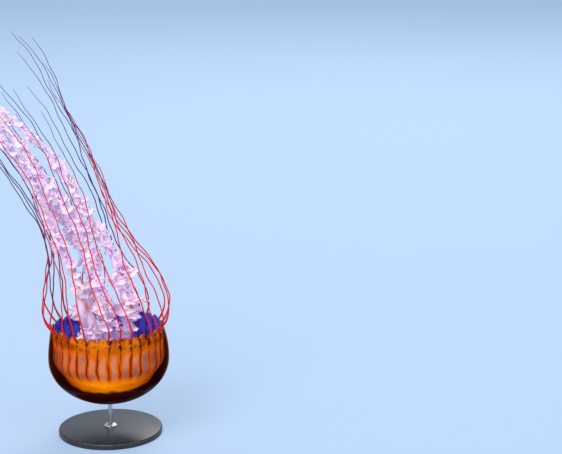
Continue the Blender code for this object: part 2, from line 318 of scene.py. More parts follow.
@dataclass
class NodeBench:
    """Builds one material's nodes."""

    name: str
    material: bpy.types.Material = field(init=False)

    def __post_init__(self) -> None:
        """Starts the material with its Principled shader alone."""
        self.material = bpy.data.materials.new(self.name)
        self.material.use_nodes = True

    @property
    def tree(self) -> bpy.types.NodeTree:
        """Returns the material's node tree."""
        return self.material.node_tree

    @property
    def shader(self) -> bpy.types.Node:
        """Returns the Principled shader."""
        return self.tree.nodes["Principled BSDF"]

    def add(self, kind: str, **settings: object) -> bpy.types.Node:
        """Adds a node.

        Args:
            kind: Its type.
            settings: Its properties, by name.

        Returns:
            The node.
        """
        node = self.tree.nodes.new(kind)
        for key, value in settings.items():
            setattr(node, key, value)
        return node

    def maths(self, operation: str, *values: object) -> Socket:
        """Adds a Math node.

        Args:
            operation: Its operation.
            values: A number or a socket for each of its inputs.

        Returns:
            The result's socket.
        """
        node = self.add("ShaderNodeMath", operation=operation)
        for socket, value in zip(node.inputs, values):
            feed(socket, value)
        return node.outputs[0]

    def times(self, a: object, b: object) -> Socket:
        """Returns a times b."""
        return self.maths("MULTIPLY", a, b)

    def minus(self, a: object, b: object) -> Socket:
        """Returns a less b."""
        return self.maths("SUBTRACT", a, b)

    def scaled(self, value: object, factor: object, added: object) -> Socket:
        """Returns a value times a factor, with something added."""
        return self.maths("MULTIPLY_ADD", value, factor, added)

    def step(self, value: object, low: object, high: object) -> Socket:
        """Adds a smooth step.

        Args:
            value: The number to judge.
            low: Where the step starts, with 0 below it.
            high: Where it ends, with 1 above it.

        Returns:
            The step's socket, from 0 to 1.
        """
        node = self.add("ShaderNodeMapRange", interpolation_type="SMOOTHSTEP")
        for key, given in (("Value", value), ("From Min", low), ("From Max", high)):
            feed(node.inputs[key], given)
        return node.outputs["Result"]

    def mix(self, share: object, a: object, b: object, kind: str = "RGBA") -> Socket:
        """Mixes two colours.

        Args:
            share: The share of the second.
            a: The first.
            b: The second.
            kind: RGBA for colours, or FLOAT for numbers.

        Returns:
            The mixture's socket.
        """
        node = self.add("ShaderNodeMix", data_type=kind)
        used = [socket for socket in node.inputs if socket.enabled]
        for socket, value in zip(used, (share, a, b)):
            feed(socket, value)
        return next(socket for socket in node.outputs if socket.enabled)

    def blend(self, share: object, a: object, b: object) -> Socket:
        """Returns number a where share is 0 and number b where it is 1."""
        return self.mix(share, a, b, kind="FLOAT")

    def chance(self, seed: Socket) -> Socket:
        """Adds a draw of chance.

        Args:
            seed: The number that it depends on.

        Returns:
            A number from 0 to 1, another one for each value of the seed.
        """
        node = self.add("ShaderNodeTexWhiteNoise", noise_dimensions="1D")
        feed(node.inputs["W"], seed)
        return node.outputs["Value"]

    def kept(self, name: str) -> Socket:
        """Returns the number that a piece keeps for each vertex under a name."""
        return self.add("ShaderNodeAttribute", attribute_name=name).outputs["Fac"]

    def object_place(self) -> Socket:
        """Returns the Object coordinates."""
        return self.add("ShaderNodeTexCoord").outputs["Object"]

    def axes(self) -> list[Socket]:
        """Splits the Object coordinates.

        Returns:
            Their X, Y and Z.
        """
        node = self.add("ShaderNodeSeparateXYZ")
        feed(node.inputs[0], self.object_place())
        return list(node.outputs)

    def noise(self, scale: float, detail: float, stretch: Optional[Triple] = None) -> Socket:
        """Adds a noise on Object coordinates.

        Args:
            scale: Its scale, in waves a metre.
            detail: Its octaves.
            stretch: How much finer it runs along each axis.

        Returns:
            The noise's value, about 0.5.
        """
        place = self.object_place()
        if stretch:
            mapping = self.add("ShaderNodeMapping")
            feed(mapping.inputs["Scale"], stretch)
            feed(mapping.inputs["Vector"], place)
            place = mapping.outputs[0]
        node = self.add("ShaderNodeTexNoise")
        for key, value in (("Vector", place), ("Scale", scale), ("Detail", detail)):
            feed(node.inputs[key], value)
        return node.outputs[0]

    def bump(self, height: Socket, strength: float, distance: float) -> None:
        """Gives the shader a bump.

        Args:
            height: What raises it.
            strength: Its strength, 0 to 1.
            distance: Its depth.
        """
        node = self.add("ShaderNodeBump")
        for key, value in (("Height", height), ("Strength", strength), ("Distance", distance)):
            feed(node.inputs[key], value)
        feed(self.shader.inputs["Normal"], node.outputs["Normal"])

    def set(self, **sockets: object) -> None:
        """Feeds the shader's sockets.

        Args:
            sockets: What each gets, by its name in lower case with _ for a space.
        """
        for key, value in sockets.items():
            name = key.replace("_", " ")
            feed(next(s for s in self.shader.inputs if s.name.lower() == name), value)


@dataclass
class BellPattern:
    """Tells a bench of nodes where on the bell it is.

    rise is the height as a share of the bell's, 0 at the apex and 1 at the rim, and ragged is the same
    with a ragged edge. lappet is the angle in lappets, a whole number at each cleft, wandering a little,
    and cleft is the distance to the nearest of them. The crown mask is 0 on the crown, where shade is
    painted near black, and 1 beyond it.
    """

    bench: NodeBench
    ragged_grain: Grain = (34.0, 4.0)
    ragged_by: float = 0.16
    wander_grain: Grain = (24.0, 2.0)
    wander_by: float = 0.6
    # The crown is painted near black as shade; its ragged edge lies between these rises.
    crown_shade_edge: Span = (0.255, 0.335)
    rise: Socket = field(init=False)
    ragged: Socket = field(init=False)
    lappet: Socket = field(init=False)
    cleft: Socket = field(init=False)
    beyond_crown_shade: Socket = field(init=False)

    def __post_init__(self) -> None:
        """Adds the nodes."""
        bench = self.bench
        x, y, z = bench.axes()
        self.rise = bench.maths("DIVIDE", bench.minus(z, PLAN.apex_z), PLAN.rim_z - PLAN.apex_z)
        rough = bench.scaled(bench.noise(*self.ragged_grain), self.ragged_by, -self.ragged_by / 2)
        self.ragged = bench.maths("ADD", self.rise, rough)
        angle = bench.maths("ARCTAN2", x, bench.times(y, -1.0))
        wander = bench.scaled(bench.noise(*self.wander_grain), self.wander_by, -self.wander_by / 2)
        self.lappet = bench.scaled(angle, 1 / PLAN.lappet_angle, wander)
        self.cleft = bench.maths("PINGPONG", self.lappet, 0.5)
        # 0 on the crown, the bell's lowest part, where shade is painted; 1 beyond it.
        self.beyond_crown_shade = bench.step(self.ragged, *self.crown_shade_edge)

    def number(self, rounding: str) -> Socket:
        """Returns the number of the lappet, from FLOOR, or of the nearest cleft, from ROUND."""
        whole = self.bench.maths(rounding, self.lappet)
        return self.bench.maths("FLOORED_MODULO", whole, float(PLAN.lappets))


@dataclass(frozen=True)
class AmberJelly:
    """The bell's skin: clear amber jelly with its crown painted near black as shade, and a lining
    painted dusky blue and plum as shade and blue back light, with a little painted glow of its own.

    The jelly takes light out along its depth, so the bell darkens to maroon wherever it is seen edge on.
    """

    # Painted shade: the outer skin's crown, which faces down, is painted near black and nearly opaque.
    crown_painted_shade: Colour = (0.030, 0.002, 0.002)
    glaze: Colour = (0.12, 0.012, 0.006)
    floor: Colour = (0.42, 0.07, 0.010)
    # Painted shade and painted blue back light on the lining: deep blue to plum over the upper inside.
    painted_dusk: Colour = (0.080, 0.11, 0.72)
    painted_dusk_plum: Colour = (0.060, 0.030, 0.34)
    seam: Colour = (0.10, 0.015, 0.045)
    absorbed: Colour = (0.86, 0.73, 0.50)
    density: float = 310.0
    crown_shade_alpha: float = 0.92
    glaze_alpha: float = 0.12
    # Painted glow of the lining's own colours.
    lining_painted_glow: float = 0.16
    lining_way: float = 0.502
    painted_dusk_grain: Grain = (40.0, 3.0)
    painted_dusk_plum_at: Span = (0.46, 0.64)
    painted_dusk_at: Span = (0.34, 0.66)
    seam_edge: Span = (0.02, 0.16)
    skin_grain: Grain = (420.0, 2.0)

    def make(self) -> bpy.types.Material:
        """Makes the material, which reads the way that a skin keeps, over a half on the lining.

        Returns:
            The material.
        """
        bench = NodeBench("amber_jelly")
        bell = BellPattern(bench)
        lining = bench.maths("GREATER_THAN", bench.kept("way"), self.lining_way)
        # Higher up the inside, the lining turns from its floor colour to painted shade and blue light.
        painted_dusk = bench.mix(bench.step(bench.noise(*self.painted_dusk_grain), *self.painted_dusk_plum_at), self.painted_dusk, self.painted_dusk_plum)
        inside = bench.mix(bench.step(bell.ragged, *self.painted_dusk_at), self.floor, painted_dusk)
        inside = bench.mix(bench.step(bell.cleft, *self.seam_edge), self.seam, inside)
        # The crown's painted shade: near black and nearly opaque on the outer skin.
        outside = bench.mix(bell.beyond_crown_shade, self.crown_painted_shade, self.glaze)
        clear = bench.blend(bell.beyond_crown_shade, self.crown_shade_alpha, self.glaze_alpha)
        bench.set(
            base_color=bench.mix(lining, outside, inside),
            alpha=bench.blend(lining, clear, 1.0),
            roughness=0.2,
            ior=1.1,
            specular_ior_level=0.06,
            coat_weight=0.03,
            coat_roughness=0.08,
            # The lining is given a painted glow of its own colours.
            emission_color=inside,
            emission_strength=bench.times(lining, self.lining_painted_glow),
        )
        bench.bump(bench.noise(*self.skin_grain), strength=0.10, distance=0.0006)
        jelly = bench.add("ShaderNodeVolumeAbsorption")
        feed(jelly.inputs["Color"], self.absorbed)
        feed(jelly.inputs["Density"], self.density)
        feed(bench.tree.nodes["Material Output"].inputs["Volume"], jelly.outputs[0])
        return bench.material


@dataclass(frozen=True)
class PanelFlesh:
    """The flesh in the bell's wall: orange with a painted glow, mauve panels, maroon rays, a spotted rim,
    and a crown painted near black as shade.

    Heights are shares of the bell's, from its apex to its rim, and widths are shares of a lappet.
    """

    orange: Colour = (0.84, 0.20, 0.002)
    honey: Colour = (0.90, 0.28, 0.004)
    honey_grain: Grain = (45.0, 4.0)
    honey_at: Span = (0.38, 0.66)
    mauve: Colour = (0.50, 0.27, 0.54)
    rose: Colour = (0.88, 0.50, 0.56)
    rose_grain: Grain = (22.0, 2.0)
    rose_at: Span = (0.55, 0.92)
    own_tint: float = 0.34
    own_width: float = 0.10
    panel_foot: Span = (0.38, 0.48)
    panel_head: Span = (0.74, 0.85)
    panel_side: Span = (0.10, 0.22)
    panel_rounding: float = 0.30
    ray: Colour = (0.22, 0.012, 0.002)
    ray_foot: Span = (0.35, 0.53)
    ray_grain: Grain = (40.0, 2.0)
    ray_waver: float = 0.34
    ray_thinned: float = 0.13
    ray_boldness: float = 0.17
    ray_core: float = 0.01
    ray_least: float = 0.03
    ray_lost_at_rim: float = 0.55
    # Painted shade on the crown, over the flesh as well.
    crown_painted_shade: Colour = (0.030, 0.002, 0.002)
    rim: Colour = (0.92, 0.30, 0.003)
    rim_edge: Span = (0.79, 0.90)
    rim_cover: float = 0.85
    rust: Colour = (0.46, 0.05, 0.003)
    stain_grain: Grain = (17.0, 1.0)
    stain_share: float = 0.55
    fleck_grain: Grain = (95.0, 4.0)
    rust_at: Span = (0.60, 0.88)
    spot: Colour = (0.11, 0.008, 0.004)
    spot_grain: Grain = (70.0, 2.0)
    spot_at: Span = (0.30, 0.46)
    # Painted glow: light painted into the flesh, yellow and strong low in the bell, weaker on the panels,
    # faint at the rim.
    painted_glow_yellow: Colour = (1.0, 0.93, 0.02)
    painted_glow_yellow_head: Span = (0.36, 0.52)
    painted_low_glow: float = 3.3
    painted_panel_glow: float = 0.80
    painted_rim_glow: float = 0.12
    painted_glow_head: Span = (0.34, 0.56)
    # A painted shade line: the painted glow dims along a fold at this rise.
    fold_rise: float = 0.35
    fold_edge: Span = (0.003, 0.014)
    fold_shade: float = 0.35
    # Unevenness of the painted glow.
    glow_cloud_grain: Grain = (14.0, 4.0)
    glow_cloud_depth: float = 1.5
    glow_cloud_least: float = 0.20
    skin_grain: Grain = (180.0, 3.0)

    def make(self) -> bpy.types.Material:
        """Makes the material.

        Returns:
            The material.
        """
        bench = NodeBench("panel_flesh")
        bell = BellPattern(bench)
        at_rim = bench.step(bell.rise, *self.rim_edge)
        colour = self.rimmed(bench, bell, at_rim, self.panelled(bench, bell, at_rim))
        bench.set(
            # The crown's painted shade covers the flesh's colour.
            base_color=bench.mix(bell.beyond_crown_shade, self.crown_painted_shade, colour),
            roughness=0.45,
            specular_ior_level=0.1,
            # Painted glow: yellow low down, the flesh's own colours above.
            emission_color=bench.mix(bench.step(bell.rise, *self.painted_glow_yellow_head), self.painted_glow_yellow, colour),
            emission_strength=self.painted_glow(bench, bell, at_rim),
        )
        bench.bump(bench.noise(*self.skin_grain), strength=0.2, distance=0.0006)
        return bench.material

    def panelled(self, bench: NodeBench, bell: BellPattern, at_rim: Socket) -> Socket:
        """Builds the orange with its panels, each of its own tint and width, and its rays.

        Args:
            bench: The bench of nodes.
            bell: Where on the bell it is.
            at_rim: 1 at the rim and 0 below it.

        Returns:
            The colour.
        """
        own = bench.chance(bench.maths("ADD", bell.number("FLOOR"), 0.5))
        mottled = bench.step(bench.noise(*self.honey_grain), *self.honey_at)
        tint = bench.scaled(own, self.own_tint, bench.noise(*self.rose_grain))
        colour = bench.mix(
            self.in_panel(bench, bell.ragged, bench.scaled(own, -self.own_width, bell.cleft)),
            bench.mix(mottled, self.orange, self.honey),
            bench.mix(bench.step(tint, *self.rose_at), self.mauve, self.rose),
        )
        faded = bench.scaled(at_rim, -self.ray_lost_at_rim, 1.0)
        return bench.mix(bench.times(self.on_ray(bench, bell), faded), colour, self.ray)

    def in_panel(self, bench: NodeBench, ragged: Socket, cleft: Socket) -> Socket:
        """Builds the mask of the panels, round at foot and head.

        Args:
            bench: The bench of nodes.
            ragged: The rise with a ragged edge.
            cleft: The distance to the nearest cleft, in lappets.

        Returns:
            1 on a panel and 0 off it.
        """
        inwards = bench.minus(0.5, cleft)
        rounded = bench.times(bench.maths("POWER", inwards, 2.0), self.panel_rounding)
        above = bench.step(bench.minus(ragged, rounded), *self.panel_foot)
        below = bench.minus(1.0, bench.step(bench.maths("ADD", ragged, rounded), *self.panel_head))
        return bench.times(bench.times(above, below), bench.step(cleft, *self.panel_side))

    def on_ray(self, bench: NodeBench, bell: BellPattern) -> Socket:
        """Builds the mask of the rays, one at each cleft, each of its own boldness.

        Args:
            bench: The bench of nodes.
            bell: Where on the bell it is.

        Returns:
            1 on a ray and 0 off it.
        """
        half = bench.scaled(bench.noise(*self.ray_grain), self.ray_waver, -self.ray_thinned)
        half = bench.scaled(bench.chance(bell.number("ROUND")), self.ray_boldness, half)
        half = bench.maths("MAXIMUM", half, self.ray_least)
        within = bench.minus(1.0, bench.step(bell.cleft, self.ray_core, half))
        return bench.times(within, bench.step(bell.ragged, *self.ray_foot))

    def rimmed(self, bench: NodeBench, bell: BellPattern, at_rim: Socket, colour: Socket) -> Socket:
        """Lays the rim's rust and its spots over the flesh.

        Args:
            bench: The bench of nodes.
            bell: Where on the bell it is.
            at_rim: 1 at the rim and 0 below it.
            colour: The flesh's colour.

        Returns:
            The colour with its rim.
        """
        flecks = bench.noise(*self.fleck_grain)
        stained = bench.scaled(bench.noise(*self.stain_grain), self.stain_share, flecks)
        mottled = bench.mix(bench.step(stained, *self.rust_at), self.rim, self.rust)
        colour = bench.mix(bench.times(at_rim, self.rim_cover), colour, mottled)
        blots = bench.step(bench.minus(bench.noise(*self.spot_grain), bell.cleft), *self.spot_at)
        return bench.mix(bench.times(at_rim, blots), colour, self.spot)

    def painted_glow(self, bench: NodeBench, bell: BellPattern, at_rim: Socket) -> Socket:
        """Builds the strength of the painted glow: strong low down, faint at the rim and uneven, dimmed
        along a fold as a painted shade line and left off the crown's painted shade.

        Args:
            bench: The bench of nodes.
            bell: Where on the bell it is.
            at_rim: 1 at the rim and 0 below it.

        Returns:
            The strength.
        """
        above = bench.step(bell.rise, *self.painted_glow_head)
        painted_glow = bench.blend(above, self.painted_low_glow, self.painted_panel_glow)
        painted_glow = bench.blend(at_rim, painted_glow, self.painted_rim_glow)
        # A painted shade line: the glow dims along a fold.
        from_fold = bench.maths("ABSOLUTE", bench.minus(bell.ragged, self.fold_rise))
        off_fold = bench.step(from_fold, *self.fold_edge)
        folded = bench.scaled(off_fold, self.fold_shade, 1 - self.fold_shade)
        glow_clouded = bench.scaled(bench.noise(*self.glow_cloud_grain), self.glow_cloud_depth, self.glow_cloud_least)
        # The painted glow is uneven, dimmed along the fold, and left off the crown's painted shade.
        return bench.times(bench.times(painted_glow, bell.beyond_crown_shade), bench.times(folded, glow_clouded))


@dataclass(frozen=True)
class LacyMembrane:
    """The oral arms' finish: pale pink lace, peach near the bell, lilac painted shade in its folds, a faint
    painted glow.
    """

    pale: Colour = (1.0, 0.75, 0.89)
    peach: Colour = (1.0, 0.72, 0.58)
    peach_grain: Grain = (38.0, 2.0)
    peach_at: Span = (0.42, 0.62)
    peach_share: float = 0.9
    peach_lost: float = 0.50
    peach_top: Span = (0.22, 0.36)
    # Painted shade: lilac in the folds, near each frill's root.
    lilac_fold_shade: Colour = (0.66, 0.29, 0.84)
    lilac_fold_shade_grain: Grain = (70.0, 3.0)
    lilac_fold_shade_share: float = 0.7
    lilac_fold_shade_off: Span = (0.30, 0.80)
    # A faint painted blue glow, light painted in as though it came through the lace.
    painted_glow: Colour = (0.30, 0.22, 1.0)
    crinkle_grain: Grain = (650.0, 3.0)

    def make(self) -> bpy.types.Material:
        """Makes the material, which reads the frill that a sheet keeps, 0 at its root and 1 at its edge.

        Returns:
            The material.
        """
        bench = NodeBench("lacy_membrane")
        above = bench.step(bench.axes()[2], *self.peach_top)
        low_down = bench.scaled(above, -self.peach_lost, self.peach_share)
        warm = bench.times(low_down, bench.step(bench.noise(*self.peach_grain), *self.peach_at))
        outward = bench.scaled(bench.noise(*self.lilac_fold_shade_grain), self.lilac_fold_shade_share, bench.kept("frill"))
        pale = bench.mix(warm, self.pale, self.peach)
        bench.set(
            # Lilac painted shade in the folds near the frills' roots, over the pale and peach.
            base_color=bench.mix(bench.step(outward, *self.lilac_fold_shade_off), self.lilac_fold_shade, pale),
            roughness=0.38,
            ior=1.38,
            subsurface_weight=0.30,
            subsurface_radius=(0.005, 0.003, 0.004),
            subsurface_scale=1.0,
            # Painted blue glow.
            emission_color=self.painted_glow,
            emission_strength=0.08,
        )
        bench.bump(bench.noise(*self.crinkle_grain), strength=0.35, distance=0.0008)
        return bench.material


@dataclass(frozen=True)
class MauveVeil:
    """The finish of the mouth and of the middle of each arm: thin mauve flesh, half clear."""

    mauve: Colour = (0.74, 0.46, 0.74)
    pale: Colour = (0.97, 0.78, 0.88)
    rust: Colour = (0.72, 0.16, 0.03)
    streak_grain: Grain = (60.0, 3.0)
    streak_stretch: Triple = (1.0, 1.0, 0.18)
    pale_at: Span = (0.38, 0.62)
    rust_grain: Grain = (26.0, 2.0)
    rust_stretch: Triple = (1.0, 1.0, 0.4)
    rust_at: Span = (0.57, 0.67)
    dense_at: Span = (0.35, 0.65)
    thin_alpha: float = 0.58
    dense_alpha: float = 0.88

    def make(self) -> bpy.types.Material:
        """Makes the material.

        Returns:
            The material.
        """
        bench = NodeBench("mauve_veil")
        streaks = bench.noise(*self.streak_grain, stretch=self.streak_stretch)
        flesh = bench.mix(bench.step(streaks, *self.pale_at), self.mauve, self.pale)
        rusty = bench.step(bench.noise(*self.rust_grain, stretch=self.rust_stretch), *self.rust_at)
        bench.set(
            base_color=bench.mix(rusty, flesh, self.rust),
            alpha=bench.blend(bench.step(streaks, *self.dense_at), self.thin_alpha, self.dense_alpha),
            roughness=0.22,
            ior=1.38,
            subsurface_weight=0.4,
            subsurface_radius=(0.008, 0.004, 0.005),
            subsurface_scale=1.0,
        )
        bench.bump(streaks, strength=0.3, distance=0.001)
        return bench.material


@dataclass(frozen=True)
class RedThread:
    """The tentacles' finish: bright red at the bell, then crimson, then a dark violet far up."""

    root: Colour = (0.36, 0.045, 0.006)
    root_below_rim: float = 0.006
    red_above_rim: float = 0.004
    red: Colour = (0.64, 0.006, 0.004)
    crimson: Colour = (0.24, 0.006, 0.045)
    crimson_height: Span = (0.62, 0.78)
    violet: Colour = (0.040, 0.010, 0.085)
    violet_height: Span = (0.74, 0.92)
    waver_grain: Grain = (9.0, 1.0)
    waver: float = 0.14
    painted_dusk_reach: float = 0.48
    skin_grain: Grain = (900.0, 2.0)

    def make(self) -> bpy.types.Material:
        """Makes the material, which reads the painted dusk that a tentacle keeps, 1 where painted shade
        darkens it early.

        Returns:
            The material.
        """
        bench = NodeBench("red_thread")
        level = bench.axes()[2]
        height = bench.scaled(bench.noise(*self.waver_grain), self.waver, level)
        # Painted shade: tentacles on the far side of the bell take the crimson and violet sooner.
        height = bench.scaled(bench.kept("painted_dusk"), self.painted_dusk_reach, height)
        out_of_root = bench.step(level, PLAN.rim_z - self.root_below_rim, PLAN.rim_z + self.red_above_rim)
        colour = bench.mix(out_of_root, self.root, self.red)
        colour = bench.mix(bench.step(height, *self.crimson_height), colour, self.crimson)
        colour = bench.mix(bench.step(height, *self.violet_height), colour, self.violet)
        bench.set(base_color=colour, roughness=0.34, ior=1.38, specular_ior_level=0.4)
        bench.bump(bench.noise(*self.skin_grain), strength=0.25, distance=0.0003)
        # Gives how early painted shade darkens a tentacle, which is early on the far side of the bell.
        return bench.material


@dataclass(frozen=True)
class SatinLacquer:
    """The stand base's finish: satin black lacquer with a faint grain."""

    black: Colour = (0.012, 0.012, 0.014)
    worn: Colour = (0.03, 0.03, 0.034)
    worn_grain: Grain = (160.0, 4.0)
    worn_at: Span = (0.4, 0.7)
    sheen: Span = (0.28, 0.42)
    dust_grain: Grain = (900.0, 2.0)

    def make(self) -> bpy.types.Material:
        """Makes the material.

        Returns:
            The material.
        """
        bench = NodeBench("satin_lacquer")
        grain = bench.noise(*self.worn_grain)
        bench.set(
            base_color=bench.mix(bench.step(grain, *self.worn_at), self.black, self.worn),
            roughness=bench.blend(grain, *self.sheen),
        )
        bench.bump(bench.noise(*self.dust_grain), strength=0.08, distance=0.0002)
        return bench.material


@dataclass(frozen=True)
class BrushedSteel:
    """The rod's finish: steel brushed round its axis."""

    steel: Colour = (0.60, 0.60, 0.62)
    line_grain: Grain = (40.0, 3.0)
    line_stretch: Triple = (1.0, 1.0, 60.0)
    sheen: Span = (0.22, 0.40)

    def make(self) -> bpy.types.Material:
        """Makes the material.

        Returns:
            The material.
        """
        bench = NodeBench("brushed_steel")
        lines = bench.noise(*self.line_grain, stretch=self.line_stretch)
        bench.set(base_color=self.steel, metallic=1.0, roughness=bench.blend(lines, *self.sheen))
        bench.bump(lines, strength=0.1, distance=0.0001)
        return bench.material


@dataclass(frozen=True)
class StudioPaper:
    """The floor and backdrop's finish: pale blue-grey paper, lit a little so that it stays even."""

    paper: Colour = (0.175, 0.225, 0.305)
    backlit: Colour = (0.245, 0.335, 0.460)

    def make(self) -> bpy.types.Material:
        """Makes the material.

        Returns:
            The material.
        """
        bench = NodeBench("studio_paper")
        bench.set(base_color=self.paper, roughness=0.9, specular_ior_level=0.2)
        bench.set(emission_color=self.backlit, emission_strength=1.0)
        return bench.material


@dataclass
class DisplayStand:
    """A plain round base and a short rod that carries the bell."""

    base_radius: float = 0.104
    base_height: float = 0.012
    base_edge: float = 0.004
    base_sides: int = 128
    edge_segments: int = 5
    underside_share: float = 0.12
    base_crease: float = math.radians(35)
    rod_radius: float = 0.0045
    rod_bottom: float = 0.0123
    rod_top: float = 0.0673
    rod_sides: int = 64
    rod_crease: float = math.radians(30)
    foot_radius: float = 0.013
    foot_height: float = 0.005
    foot_rim: float = 0.002
    foot_slope: float = 0.0012
    knee: float = 0.0015
    cup_flare: float = 0.0014
    cup_depths: Triple = (0.006, 0.004, 0.001)

    def build(self) -> list[bpy.types.Object]:
        """Models and dresses the stand.

        Returns:
            The base and the rod.
        """
        base = self.base()
        base.data.materials.append(SatinLacquer().make())
        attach(base, "root")
        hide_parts("stand_base")
        rod = self.rod()
        rod.data.materials.append(BrushedSteel().make())
        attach(rod, "root")
        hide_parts("stand_rod")
        return [base, rod]

    def base(self) -> bpy.types.Object:
        """Models the base, a disc with a rounded upper edge and a slight one below.

        Returns:
            The base.
        """
        deselect_all()
        middle = (0, 0, self.base_height / 2)
        bpy.ops.mesh.primitive_cylinder_add(
            vertices=self.base_sides, radius=self.base_radius, depth=self.base_height, location=middle
        )
        disc = bpy.context.object
        disc.name = disc.data.name = "stand_base_lacquered"
        bpy.ops.object.transform_apply(location=True, rotation=True, scale=True)
        weight = disc.data.attributes.new("bevel_weight_edge", "FLOAT", "EDGE")
        for line in disc.data.edges:
            on_top = all(disc.data.vertices[index].co.z > self.base_height / 2 for index in line.vertices)
            weight.data[line.index].value = 1.0 if on_top else self.underside_share
        bevel = disc.modifiers.new("edge", "BEVEL")
        bevel.width = self.base_edge
        bevel.segments = self.edge_segments
        bevel.limit_method = "WEIGHT"
        bpy.ops.object.modifier_apply(modifier=bevel.name)
        bpy.ops.object.shade_smooth_by_angle(angle=self.base_crease)
        return disc

    def rod_profile(self) -> list[Pair]:
        """Works out the rod's outline, from the foot's underside to the cup under the bell.

        Returns:
            The radius and the height at each turn of it.
        """
        foot_top = self.rod_bottom + self.foot_height
        cup_foot, cup_base, cup_lip = (self.rod_top - depth for depth in self.cup_depths)
        return [
            (self.foot_radius, self.rod_bottom),
            (self.foot_radius, self.rod_bottom + self.foot_rim),
            (self.foot_radius - self.knee, foot_top - self.foot_slope),
            (self.rod_radius + self.knee, foot_top),
            (self.rod_radius, foot_top + self.knee),
            (self.rod_radius, cup_foot),
            (self.rod_radius + self.cup_flare, cup_base),
            (self.rod_radius + self.cup_flare, cup_lip),
            (self.rod_radius, self.rod_top),
        ]

    def rod(self) -> bpy.types.Object:
        """Models the rod by extruding its foot's underside along its profile.

        Returns:
            The rod.
        """
        profile = self.rod_profile()
        (first_radius, first_height), *_ = profile
        deselect_all()
        bpy.ops.mesh.primitive_circle_add(
            vertices=self.rod_sides, radius=first_radius, fill_type="NGON", location=(0, 0, first_height)
        )
        rod = bpy.context.object
        rod.name = rod.data.name = "stand_rod_brushed"
        bpy.ops.object.transform_apply(location=True, rotation=True, scale=True)
        bpy.ops.object.mode_set(mode="EDIT")
        bpy.ops.mesh.select_all(action="SELECT")
        for (radius, height), (next_radius, next_height) in zip(profile, profile[1:]):
            rise = {"value": (0, 0, next_height - height)}
            bpy.ops.mesh.extrude_region_move(TRANSFORM_OT_translate=rise)
            bpy.ops.transform.resize(value=(next_radius / radius, next_radius / radius, 1.0))
        bpy.ops.object.mode_set(mode="OBJECT")
        turn_outwards(rod)
        bpy.ops.object.shade_smooth_by_angle(angle=self.rod_crease)
        return rod


